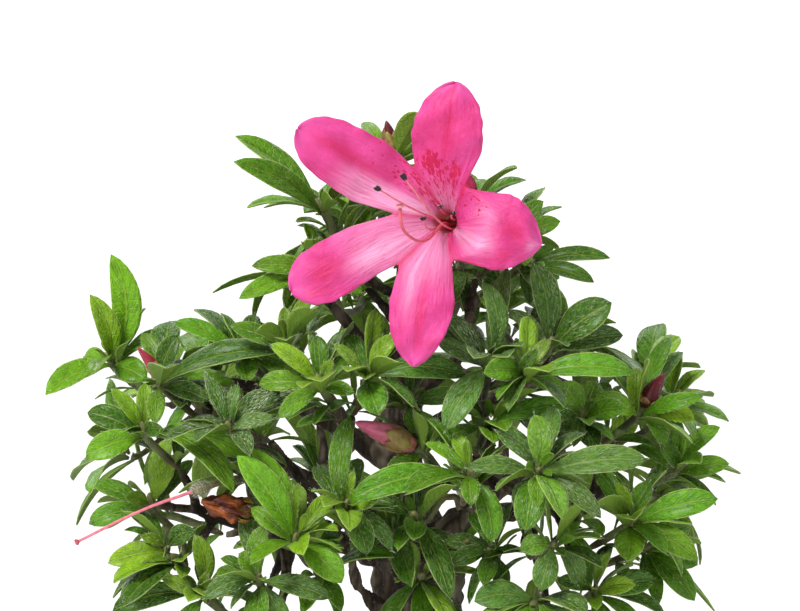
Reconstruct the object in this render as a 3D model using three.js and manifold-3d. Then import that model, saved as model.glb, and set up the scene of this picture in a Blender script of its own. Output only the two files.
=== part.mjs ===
// A satsuki azalea bonsai in a low oval pot: rooted trunk and limbs, leafy shoots, one open bloom,
// five buds and one spent bloom. Millimetres, +Z up, the foot of the pot at z = 0, the bloom facing -Y.
import * as THREE from "three";
import { mergeVertices } from "three/addons/utils/BufferGeometryUtils.js";
import Module from "manifold-3d";

const wasm = await Module();
wasm.setup();

// ---------------------------------------------------------------- driving dimensions (mm)
const POT = { length: 150, width: 116, height: 50, wall: 6, floor: 13, underside: 7, lip: 6, sides: 22 };
const SOIL = { edge: 44, crown: 51.5, gap: 0.35 };
const TRUNK = { foot: 38, crotch: 104, flare: 23, waist: 10.2, roots: 6, sides: 13 };
const HEART = { radius: 1.15, band: 1.5, bud: 3.2 }; // the leaf whorl at the end of a shoot
const TWIG = { radius: 1.05, sides: 5, length: 15, gap: 0.35 };
const LEAF = { thickness: 1.2, fold: 0.2, arch: 0.26 };
const LEAF_STATIONS = [
  // [share of the length, share of the half width]
  [0.24, 0.62],
  [0.52, 1.0],
  [0.8, 0.66],
];
const CLEAR = 0.4; // air kept round a leaf, beyond its own surface
const CROWN = { middle: [0, 2, 136], reach: [66, 57, 62] }; // dome on which the shoot tips sit
const SIGHT = THREE.MathUtils.degToRad(8); // the front is set out as seen from this much above
const BLOOM_DEPTH = -50; // y of the bloom's mouth

const LOOKS = {
  leaf: { color: 0x4f8a1c, roughness: 0.5 },
  leafDark: { color: 0x2f5a26, roughness: 0.5 },
  leafLime: { color: 0x86b31c, roughness: 0.5 },
  bark: { color: 0x4a3d34, roughness: 0.95 },
  petal: { color: 0xee4c95, roughness: 0.7 },
  style: { color: 0xf08a94, roughness: 0.6 },
  filament: { color: 0xd8447c, roughness: 0.6 },
  sepal: { color: 0x7c9a3a, roughness: 0.7 },
  bud: { color: 0xb33a5c, roughness: 0.7 },
  spent: { color: 0x8a4514, roughness: 0.9 },
  soil: { color: 0x4b3a2c, roughness: 1 },
  clay: { color: 0x6b4a3a, roughness: 0.6 },
};

const vec = (x, y, z) => new THREE.Vector3(x, y, z);
// A point given as seen from the front: x, seen height, and depth y.
const seen = ([x, y, height]) => vec(x, y, height - (y - BLOOM_DEPTH) * Math.tan(SIGHT));
const mix = (a, b, share) => a.clone().lerp(b, share);
const across = (v, axis) => v.clone().addScaledVector(axis, -v.dot(axis)).normalize();

// A repeatable stream of numbers from 0 to 1.
function stream(seed) {
  let state = seed >>> 0;
  return () => {
    state = (state + 0x6d2b79f5) >>> 0;
    let t = Math.imul(state ^ (state >>> 15), 1 | state);
    t = (t + Math.imul(t ^ (t >>> 7), 61 | t)) ^ t;
    return ((t ^ (t >>> 14)) >>> 0) / 4294967296;
  };
}

// ---------------------------------------------------------------- skins
// A skin is a closed surface made ring by ring. Rings run anticlockwise seen from the growing end.
class Skin {
  points = [];
  faces = [];

  add(point) {
    this.points.push(point.clone());
    return this.points.length - 1;
  }

  centre(ring) {
    const sum = vec(0, 0, 0);
    ring.forEach((i) => sum.add(this.points[i]));
    return sum.divideScalar(ring.length);
  }

  // The first ring of a tube.
  start(centre, axis, radius, sides, reference = vec(0.31, 0.17, 1)) {
    const right = across(reference, axis).multiplyScalar(radius);
    const up = axis.clone().cross(right);
    return Array.from({ length: sides }, (_, i) => {
      const turn = (2 * Math.PI * i) / sides;
      return this.add(
        centre.clone().addScaledVector(right, Math.cos(turn)).addScaledVector(up, Math.sin(turn)),
      );
    });
  }

  // The next ring, turned no more than the tube bends.
  next(ring, centre, axis, radius) {
    const first = this.points[ring[0]].clone().sub(this.centre(ring));
    return this.start(centre, axis, radius, ring.length, first);
  }

  triangle(a, b, c) {
    this.faces.push([a, b, c]);
  }

  quad(a, b, c, d) {
    this.faces.push([a, b, c], [a, c, d]);
  }

  // The facets between two rings, as corner lists; wall() closes them all.
  facets(lower, upper) {
    return lower.map((_, i) => {
      const j = (i + 1) % lower.length;
      return [lower[i], lower[j], upper[j], upper[i]];
    });
  }

  wall(lower, upper) {
    this.facets(lower, upper).forEach((facet) => this.quad(...facet));
  }

  capStart(ring) {
    for (let i = 1; i < ring.length - 1; i++) this.triangle(ring[0], ring[i + 1], ring[i]);
  }

  capEnd(ring) {
    for (let i = 1; i < ring.length - 1; i++) this.triangle(ring[0], ring[i], ring[i + 1]);
  }

  fan(ring, tip) {
    ring.forEach((corner, i) => this.triangle(corner, ring[(i + 1) % ring.length], tip));
  }

  triangles() {
    return this.faces.map((face) => face.map((i) => this.points[i]));
  }

  geometry() {
    const geometry = new THREE.BufferGeometry();
    geometry.setAttribute(
      "position",
      new THREE.Float32BufferAttribute(this.points.flatMap((p) => p.toArray()), 3),
    );
    geometry.setIndex(this.faces.flat());
    return geometry;
  }
}

// A closed tube along a curve; radius is a function of the share of the way.
function tube(curve, radius, sides, steps, blunt = true) {
  const skin = new Skin();
  let ring = skin.start(curve.getPoint(0), curve.getTangent(0), radius(0), sides);
  skin.capStart(ring);
  for (let i = 1; i <= steps; i++) {
    const t = i / steps;
    if (i === steps && !blunt) {
      skin.fan(ring, skin.add(curve.getPoint(1)));
      return skin;
    }
    const after = skin.next(ring, curve.getPoint(t), curve.getTangent(t), radius(t));
    skin.wall(ring, after);
    ring = after;
  }
  skin.capEnd(ring);
  return skin;
}

// A sheet of points and faces given an even thickness behind its face side.
function thicken(points, faces, thickness) {
  const normals = points.map(() => vec(0, 0, 0));
  for (const [a, b, c] of faces) {
    const normal = points[b].clone().sub(points[a]).cross(points[c].clone().sub(points[a]));
    [a, b, c].forEach((i) => normals[i].add(normal));
  }
  const skin = new Skin();
  points.forEach((p) => skin.add(p));
  points.forEach((p, i) => skin.add(p.clone().addScaledVector(normals[i].normalize(), -thickness)));
  const behind = points.length;
  const edges = new Set(faces.flatMap(([a, b, c]) => [`${a},${b}`, `${b},${c}`, `${c},${a}`]));
  for (const [a, b, c] of faces) {
    skin.triangle(a, b, c);
    skin.triangle(behind + a, behind + c, behind + b);
    for (const [from, to] of [[a, b], [b, c], [c, a]]) {
      if (!edges.has(`${to},${from}`)) skin.quad(to, from, behind + from, behind + to);
    }
  }
  return skin;
}

// ---------------------------------------------------------------- space kept by what is already there
function pierces(from, to, [a, b, c]) {
  const edge1 = b.clone().sub(a);
  const edge2 = c.clone().sub(a);
  const ray = to.clone().sub(from);
  const p = ray.clone().cross(edge2);
  const determinant = edge1.dot(p);
  if (Math.abs(determinant) < 1e-9) return false;
  const offset = from.clone().sub(a);
  const u = offset.dot(p) / determinant;
  if (u < 1e-4 || u > 1 - 1e-4) return false;
  const q = offset.cross(edge1);
  const v = ray.dot(q) / determinant;
  if (v < 1e-4 || u + v > 1 - 1e-4) return false;
  const t = edge2.dot(q) / determinant;
  return t > 1e-4 && t < 1 - 1e-4;
}

function cross(one, other) {
  for (let i = 0; i < 3; i++) {
    if (pierces(one[i], one[(i + 1) % 3], other)) return true;
    if (pierces(other[i], other[(i + 1) % 3], one)) return true;
  }
  return false;
}

const tangled = (triangles) =>
  triangles.some((one, i) => triangles.slice(i + 1).some((other) => cross(one, other)));

// Triangles kept in a grid of cells, so that a new piece is only held against what is near it.
class Space {
  cells = new Map();

  constructor(size) {
    this.size = size;
  }

  *keys(box) {
    const low = box.min.clone().divideScalar(this.size).floor();
    const high = box.max.clone().divideScalar(this.size).floor();
    for (let x = low.x; x <= high.x; x++)
      for (let y = low.y; y <= high.y; y++)
        for (let z = low.z; z <= high.z; z++) yield (x + 500) * 1e6 + (y + 500) * 1e3 + z + 500;
  }

  add(triangles) {
    for (const corners of triangles) {
      const entry = { corners, box: new THREE.Box3().setFromPoints(corners) };
      for (const key of this.keys(entry.box)) {
        if (!this.cells.has(key)) this.cells.set(key, []);
        this.cells.get(key).push(entry);
      }
    }
  }

  blocked(triangles) {
    for (const corners of triangles) {
      const box = new THREE.Box3().setFromPoints(corners);
      for (const key of this.keys(box)) {
        for (const other of this.cells.get(key) ?? []) {
          if (box.intersectsBox(other.box) && cross(corners, other.corners)) return true;
        }
      }
    }
    return false;
  }
}

const space = new Space(6);

// ---------------------------------------------------------------- solids joined and cut
function solid(geometry) {
  const bare = geometry.clone();
  bare.deleteAttribute("normal");
  bare.deleteAttribute("uv");
  const merged = mergeVertices(bare, 1e-4);
  return new wasm.Manifold(
    new wasm.Mesh({
      numProp: 3,
      vertProperties: new Float32Array(merged.attributes.position.array),
      triVerts: new Uint32Array(merged.index.array),
    }),
  );
}

function geometryOf(manifold) {
  const made = manifold.getMesh();
  const geometry = new THREE.BufferGeometry();
  geometry.setAttribute("position", new THREE.BufferAttribute(new Float32Array(made.vertProperties), 3));
  geometry.setIndex(new THREE.BufferAttribute(new Uint32Array(made.triVerts), 1));
  return geometry;
}

// ---------------------------------------------------------------- pot and soil
// A flattened oval, fuller at its corners than an ellipse; height is a function of the turn.
function oval(skin, halfLength, halfWidth, height) {
  const bow = (value) => Math.sign(value) * Math.abs(value) ** 0.8;
  return Array.from({ length: POT.sides }, (_, i) => {
    const turn = (2 * Math.PI * i) / POT.sides;
    return skin.add(vec(halfLength * bow(Math.cos(turn)), halfWidth * bow(Math.sin(turn)), height(turn)));
  });
}

// How far the pot's outer face stands in from the lip at a height.
const potInset = (z) => 2.6 + 9 * (1 - z / (POT.height - POT.lip)) ** 1.6;

// Closes a stack of rings into a skin, all but its top.
function loft(skin, levels) {
  skin.capStart(levels[0]);
  levels.slice(1).forEach((level, i) => skin.wall(levels[i], level));
  return skin;
}

function potSolid() {
  const a = POT.length / 2;
  const b = POT.width / 2;
  const skin = new Skin();
  const at = (inset, z) => oval(skin, a - inset, b - inset, () => z);
  const top = POT.height;
  const under = top - POT.lip;
  const levels = [
    at(potInset(POT.underside) + 2, POT.underside),
    at(potInset(22), 22),
    at(potInset(under), under),
    at(0, under + 1.2),
    at(0.6, top),
    at(POT.wall - 0.6, top),
    at(potInset(40) + POT.wall, 40),
    at(potInset(22) + POT.wall, 22),
    at(potInset(POT.floor) + POT.wall + 1, POT.floor),
  ];
  loft(skin, levels).capEnd(levels[levels.length - 1]);
  let body = solid(skin.geometry());
  // four cloud-shaped feet, their flat undersides on the ground
  for (const turn of [0.62, Math.PI - 0.62, Math.PI + 0.62, -0.62]) {
    const foot = new Skin();
    const middle = vec((a - 17) * Math.cos(turn), (b - 15) * Math.sin(turn), 0);
    const outward = vec(middle.x / a, middle.y / b, 0).normalize();
    const along = vec(-outward.y, outward.x, 0);
    const ring = (grow, z) =>
      Array.from({ length: 8 }, (_, i) => {
        const t = (2 * Math.PI * i) / 8;
        return foot.add(
          middle.clone()
            .addScaledVector(outward, (4.6 + grow * 0.6) * Math.cos(t))
            .addScaledVector(along, (11 + grow) * Math.sin(t))
            .setZ(z),
        );
      });
    const [sole, root] = [ring(-1.5, 0), ring(1.5, POT.underside + 1.2)];
    loft(foot, [sole, root]).capEnd(root);
    body = body.add(solid(foot.geometry()));
  }
  for (const x of [-28, 28]) {
    const drain = new THREE.CylinderGeometry(5, 5, POT.floor * 2, 10);
    drain.rotateX(Math.PI / 2);
    drain.translate(x, 0, POT.floor / 2 + 3);
    body = body.subtract(solid(drain));
  }
  return body;
}

function soilSolid(hole) {
  const a = POT.length / 2;
  const b = POT.width / 2;
  const skin = new Skin();
  const at = (inset, z) => oval(skin, a - inset - SOIL.gap, b - inset - SOIL.gap, () => z);
  const mound = (share, turn) =>
    SOIL.edge + (SOIL.crown - SOIL.edge) * Math.sin((share * Math.PI) / 2) +
    0.7 * Math.sin(3 * turn + 5 * share) + 0.5 * Math.cos(5 * turn - 4 * share);
  const wallInset = potInset(40) + POT.wall;
  const levels = [
    at(potInset(POT.floor) + POT.wall + 1.2, POT.floor + SOIL.gap),
    at(potInset(22) + POT.wall, 22),
    at(wallInset, 40),
  ];
  const [topA, topB] = [a - wallInset - 0.6, b - wallInset - 0.6];
  for (const share of [0.06, 0.3, 0.6]) {
    levels.push(oval(skin, topA * (1 - share), topB * (1 - share), (turn) => mound(share, turn)));
  }
  loft(skin, levels).fan(levels[levels.length - 1], skin.add(vec(0, 0, mound(1, 0))));
  return solid(skin.geometry()).subtract(hole);
}

// ---------------------------------------------------------------- trunk and limbs
const spine = new THREE.CatmullRomCurve3([
  vec(1, 0, TRUNK.foot),
  vec(0.5, 0, 52),
  vec(3, -1, 70),
  vec(4, -2, 88),
  vec(5, -2, TRUNK.crotch),
  vec(1, 1, 124),
  vec(-1, 3, 148),
  vec(1, 2, 176),
]);

// Trunk radius at a height, in a direction: buttress roots, then a gnarled taper.
function trunkRadius(z, turn) {
  const rise = Math.max(0, (z - 50) / 18);
  const buried = z < 50 ? 0.8 + (z - TRUNK.foot) / 60 : 1;
  const flare = (TRUNK.flare - TRUNK.waist) * Math.exp(-rise * 1.55) * buried;
  const roots = 0.34 * Math.exp(-rise * 0.9) * Math.cos(TRUNK.roots * turn + 0.5 + Math.sin(turn));
  const gnarl = 0.07 * Math.sin(3 * turn + z * 0.16) + 0.05 * Math.cos(5 * turn - z * 0.11);
  const above = Math.max(0, z - TRUNK.crotch);
  const below = Math.max(0, TRUNK.crotch - z);
  const stem = TRUNK.waist + below / 30 - 8.6 * (1 - Math.exp(-above / 16));
  return (stem + flare) * (1 + gnarl + roots * Math.min(1, flare / 6));
}

function trunkSkin(grow) {
  const skin = new Skin();
  const heights = [TRUNK.foot, 50, 56, 64, 75, 88, 102, 116, 134, 155, 176];
  const rings = heights.map((z) => {
    const share = (z - TRUNK.foot) / (176 - TRUNK.foot);
    const centre = spine.getPoint(spineShare(z));
    return Array.from({ length: TRUNK.sides }, (_, i) => {
      const turn = (2 * Math.PI * i) / TRUNK.sides + share;
      const radius = trunkRadius(z, turn) + grow;
      return skin.add(vec(centre.x + radius * Math.cos(turn), centre.y + radius * Math.sin(turn), z));
    });
  });
  const foot = rings[0];
  skin.fan([...foot].reverse(), skin.add(skin.centre(foot)));
  rings.slice(1).forEach((ring, i) => skin.wall(rings[i], ring));
  skin.capEnd(rings[rings.length - 1]);
  return skin;
}

// The share of the way along the spine at which it reaches a height.
function spineShare(z) {
  let low = 0;
  let high = 1;
  for (let i = 0; i < 30; i++) {
    const middle = (low + high) / 2;
    if (spine.getPoint(middle).z < z) low = middle;
    else high = middle;
  }
  return low;
}

// Limbs: way points and the radius at each end.
const LIMBS = [
  {
    way: [[5, -2, 103], [8, -9, 110], [19, -15, 116], [38, -20, 119], [52, -21, 124]],
    radius: [4.2, 1.5],
  },
  { way: [[4, -1, 100], [-14, -8, 108], [-32, -15, 112], [-50, -18, 118]], radius: [4, 1.5] },
  { way: [[4, 0, 104], [20, 16, 114], [42, 32, 124]], radius: [3.8, 1.4] },
  { way: [[3, 0, 106], [-16, 18, 116], [-42, 34, 126]], radius: [3.8, 1.4] },
  { way: [[4, -2, 108], [-2, -16, 114], [-12, -30, 118], [-20, -38, 122]], radius: [3, 1.3] },
  { way: [[3, 0, 112], [4, 20, 124], [2, 42, 136]], radius: [3.4, 1.3] },
  { way: [[1, 1, 124], [-18, -4, 138], [-36, -14, 148], [-50, -18, 150]], radius: [3.2, 1.3] },
  { way: [[0, 1, 130], [20, -2, 144], [38, -6, 154]], radius: [3, 1.3] },
  { way: [[0, 1, 138], [7, -12, 148], [14, -22, 156], [17, -26, 166]], radius: [2.8, 1.3] },
  { way: [[-1, 3, 146], [-12, 4, 160], [-22, 2, 172]], radius: [2.4, 1.2] },
  { way: [[0, 2, 118], [10, -14, 124], [20, -28, 128]], radius: [2.6, 1.3] },
];
// Cut twigs and a dead fork, which bear no leaves.
const BARE_TWIGS = [
  { way: [[2, -6, 88], [-9, -12, 95], [-11.5, -16, 102], [-11.3, -17, 110.5]], radius: [1.6, 0.9] },
  { way: [[5, -8, 92], [2, -13, 97], [-6, -16, 108]], radius: [1.2, 0.8] },
  { way: [[-50, -18, 118], [-62, -19, 119.5], [-67, -20, 123], [-74, -20, 124]], radius: [1.3, 0.9] },
  { way: [[-64, -19.5, 121], [-70, -21, 119], [-75, -22, 115]], radius: [1, 0.7] },
  { way: [[19, -15, 116], [21, -24, 108], [18, -28, 101]], radius: [1.1, 0.6] },
];
const curveOf = (limb) => new THREE.CatmullRomCurve3(limb.way.map((p) => vec(...p)));
const taper = ([from, to]) => (t) => from + (to - from) * t ** 0.8;

// ---------------------------------------------------------------- leaves
// The cross-sections of a leaf: right edge, top of the rib, left edge, underside of the rib.
function leafShape(corners, leaf, grow = 0) {
  const base = corners.reduce((sum, p) => sum.add(p), vec(0, 0, 0)).divideScalar(4);
  const outward = corners[1].clone().sub(corners[0]).cross(corners[3].clone().sub(corners[0])).normalize();
  const chord = leaf.tip.clone().sub(base);
  const length = chord.length();
  const along = chord.clone().normalize();
  const face = across(leaf.face, along);
  const lift = face.clone().add(across(vec(0.01, 0, 1), along).multiplyScalar(0.7)).normalize();
  const tip = leaf.tip.clone().addScaledVector(along, grow);
  const bend = base.clone()
    .addScaledVector(chord, 0.45)
    .addScaledVector(lift, leaf.arch * length)
    .addScaledVector(outward, 0.1 * length);
  const rib = new THREE.QuadraticBezierCurve3(base, bend, tip);
  const sections = LEAF_STATIONS.map(([share, wide], i) => {
    const centre = rib.getPoint(share);
    const direction = rib.getTangent(share);
    const up = across(face, direction);
    const side = up.clone().cross(direction);
    const spare = i ? grow : grow * 0.4;
    const half = leaf.half * wide + spare;
    const thick = LEAF.thickness + spare * 1.4;
    const rise = leaf.half * wide * LEAF.fold;
    return [
      centre.clone().addScaledVector(side, half).addScaledVector(up, rise),
      centre.clone().addScaledVector(up, thick * 0.4),
      centre.clone().addScaledVector(side, -half).addScaledVector(up, rise),
      centre.clone().addScaledVector(up, -thick * 0.6),
    ];
  });
  return { sections, tip, turn: bestTurn(corners, sections[0]) };
}

// Which stem corner each rib or edge starts from, so that the leaf twists least.
function bestTurn(corners, section) {
  const centre = (list) => list.reduce((sum, p) => sum.add(p), vec(0, 0, 0)).divideScalar(4);
  const middle = [centre(corners), centre(section)];
  let best = 0;
  let most = -Infinity;
  for (let turn = 0; turn < 4; turn++) {
    let fit = 0;
    section.forEach((p, i) => {
      const arm = corners[(i + turn) % 4].clone().sub(middle[0]).normalize();
      fit += arm.dot(p.clone().sub(middle[1]).normalize());
    });
    if (fit > most) [most, best] = [fit, turn];
  }
  return best;
}

function leafTriangles(corners, shape) {
  const trial = new Skin();
  raise(trial, corners.map((p) => trial.add(p)), shape);
  return trial.triangles();
}

function raise(skin, facet, { sections, tip, turn }) {
  let ring = facet.map((_, i) => facet[(i + turn) % 4]);
  for (const section of sections) {
    const after = section.map((p) => skin.add(p));
    skin.wall(ring, after);
    ring = after;
  }
  skin.fan(ring, skin.add(tip));
}

// Small shifts tried in turn until a leaf stands clear of everything.
const SHIFTS = [0, 2, -2, 4, -4, 6.5, -6.5, 9, -9, 12, -12];

function fitLeaf(corners, leaf) {
  for (const share of [1, 0.88, 0.76]) {
    for (const shift of SHIFTS) {
      for (const rise of [0, 1.6, -1.6]) {
        const moved = {
          ...leaf,
          tip: leaf.tip.clone().addScaledVector(leaf.depth, shift).add(vec(0, 0, rise)),
          half: leaf.half * share,
        };
        const shape = leafShape(corners, moved);
        const leafSkin = leafTriangles(corners, shape);
        if (tangled(leafSkin.slice(0, 10)) || space.blocked(leafSkin)) continue;
        if (!space.blocked(leafTriangles(corners, leafShape(corners, moved, CLEAR)))) return shape;
      }
    }
  }
  return null;
}

// ---------------------------------------------------------------- shoots
// Grows a stem from a ring to its heart, ready for the leaves. Facets are left open for the leaves and,
// where forkAt gives a share of the way, for a second stem.
function growStem(skin, ring, shoot, launch, forkAt) {
  const base = skin.centre(ring);
  const { heart, axis } = shoot;
  const low = heart.clone().addScaledVector(axis, -HEART.band);
  const bend = mix(base, low, 0.4)
    .addScaledVector(axis, 1.5)
    .addScaledVector(launch, 0.2 * base.distanceTo(low));
  const way = new THREE.QuadraticBezierCurve3(base, bend, low);
  const length = way.getLength();
  const ringAt = (t, before) => skin.next(before, way.getPoint(t), way.getTangent(t), TWIG.radius);
  const facets = [];
  let last = ring;
  if (forkAt) {
    const lower = ringAt(forkAt, last);
    const upper = ringAt(forkAt + HEART.band / length, lower);
    skin.wall(last, lower);
    facets.push({ fork: true, list: skin.facets(lower, upper) });
    last = upper;
  } else if (length > 16) {
    const after = ringAt(0.5, last);
    skin.wall(last, after);
    last = after;
  }
  const rings = [-1, 0, 1].map((step) => {
    const centre = heart.clone().addScaledVector(axis, step * HEART.band);
    return skin.next(last, centre, axis, HEART.radius * (step === 1 ? 0.85 : 1));
  });
  skin.wall(last, rings[0]);
  facets.push({ list: [...skin.facets(rings[0], rings[1]), ...skin.facets(rings[1], rings[2])] });
  if (shoot.flat) skin.capEnd(rings[2]);
  else skin.fan(rings[2], skin.add(heart.clone().addScaledVector(axis, HEART.band + HEART.bud)));
  return facets;
}

const facetNormal = (corners) =>
  corners[1].clone().sub(corners[0]).cross(corners[3].clone().sub(corners[0])).normalize();

// Stems first, so that no leaf of one shoot crosses the stem of another. A forked stem is tried with
// its fork at several heights and on several facets until it stands clear of itself.
function startShoot(shoot) {
  const grow = (forkAt, rank) => {
    const skin = new Skin();
    const axis = shoot.stemCurve.getTangent(0);
    const ring = skin.start(shoot.root, axis, TWIG.radius, TWIG.sides);
    skin.capStart(ring);
    shoot.skin = skin;
    shoot.facets = growStem(skin, ring, shoot, axis, forkAt);
    if (!shoot.fork) return;
    const forkFacets = shoot.facets.find((group) => group.fork).list;
    const fits = forkFacets.map((facet, i) => {
      const corners = facet.map((n) => skin.points[n]);
      const towards = shoot.fork.heart.clone().sub(corners[0]).normalize();
      return { i, normal: facetNormal(corners), fit: facetNormal(corners).dot(towards) };
    }).sort((one, other) => other.fit - one.fit);
    const best = fits[rank];
    forkFacets.forEach((facet, i) => {
      if (i !== best.i) skin.quad(...facet);
    });
    shoot.fork.facets = growStem(skin, forkFacets[best.i], shoot.fork, best.normal);
  };
  const trials = shoot.fork
    ? [0.35, 0.2, 0.5, 0.65].flatMap((forkAt) => [0, 1].map((rank) => [forkAt, rank]))
    : [[0, 0]];
  for (const [forkAt, rank] of trials) {
    grow(forkAt, rank);
    const stem = shoot.skin.triangles();
    if (!tangled(stem) && !space.blocked(stem)) break;
  }
  const skin = shoot.skin;
  space.add(skin.triangles());
  for (const part of [shoot, shoot.fork].filter(Boolean)) {
    for (const [a, b, c, d] of heartFacets(part)) {
      const [p, q, r, s] = [a, b, c, d].map((i) => skin.points[i]);
      space.add([[p, q, r], [p, r, s]]);
    }
  }
}

const heartFacets = (shoot) => shoot.facets.find((group) => !group.fork).list;

function leafOut(skin, shoot) {
  const free = heartFacets(shoot).map((facet) => {
    const corners = facet.map((i) => skin.points[i]);
    return { facet, corners, normal: facetNormal(corners) };
  });
  // A leaf goes on the best facet where it stands clear of everything, or is left out.
  const place = (leaf) => {
    const direction = leaf.tip.clone().sub(shoot.heart).normalize();
    const order = free.filter((spot) => !spot.taken)
      .sort((one, other) => other.normal.dot(direction) - one.normal.dot(direction));
    for (const spot of order.slice(0, 4)) {
      const shape = fitLeaf(spot.corners, leaf);
      if (!shape) continue;
      spot.taken = true;
      space.add(leafTriangles(spot.corners, shape));
      raise(skin, spot.facet, shape);
      return;
    }
  };
  shoot.leaves.forEach(place);
  for (const spot of free) {
    if (!spot.taken) skin.quad(...spot.facet);
  }
}

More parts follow.
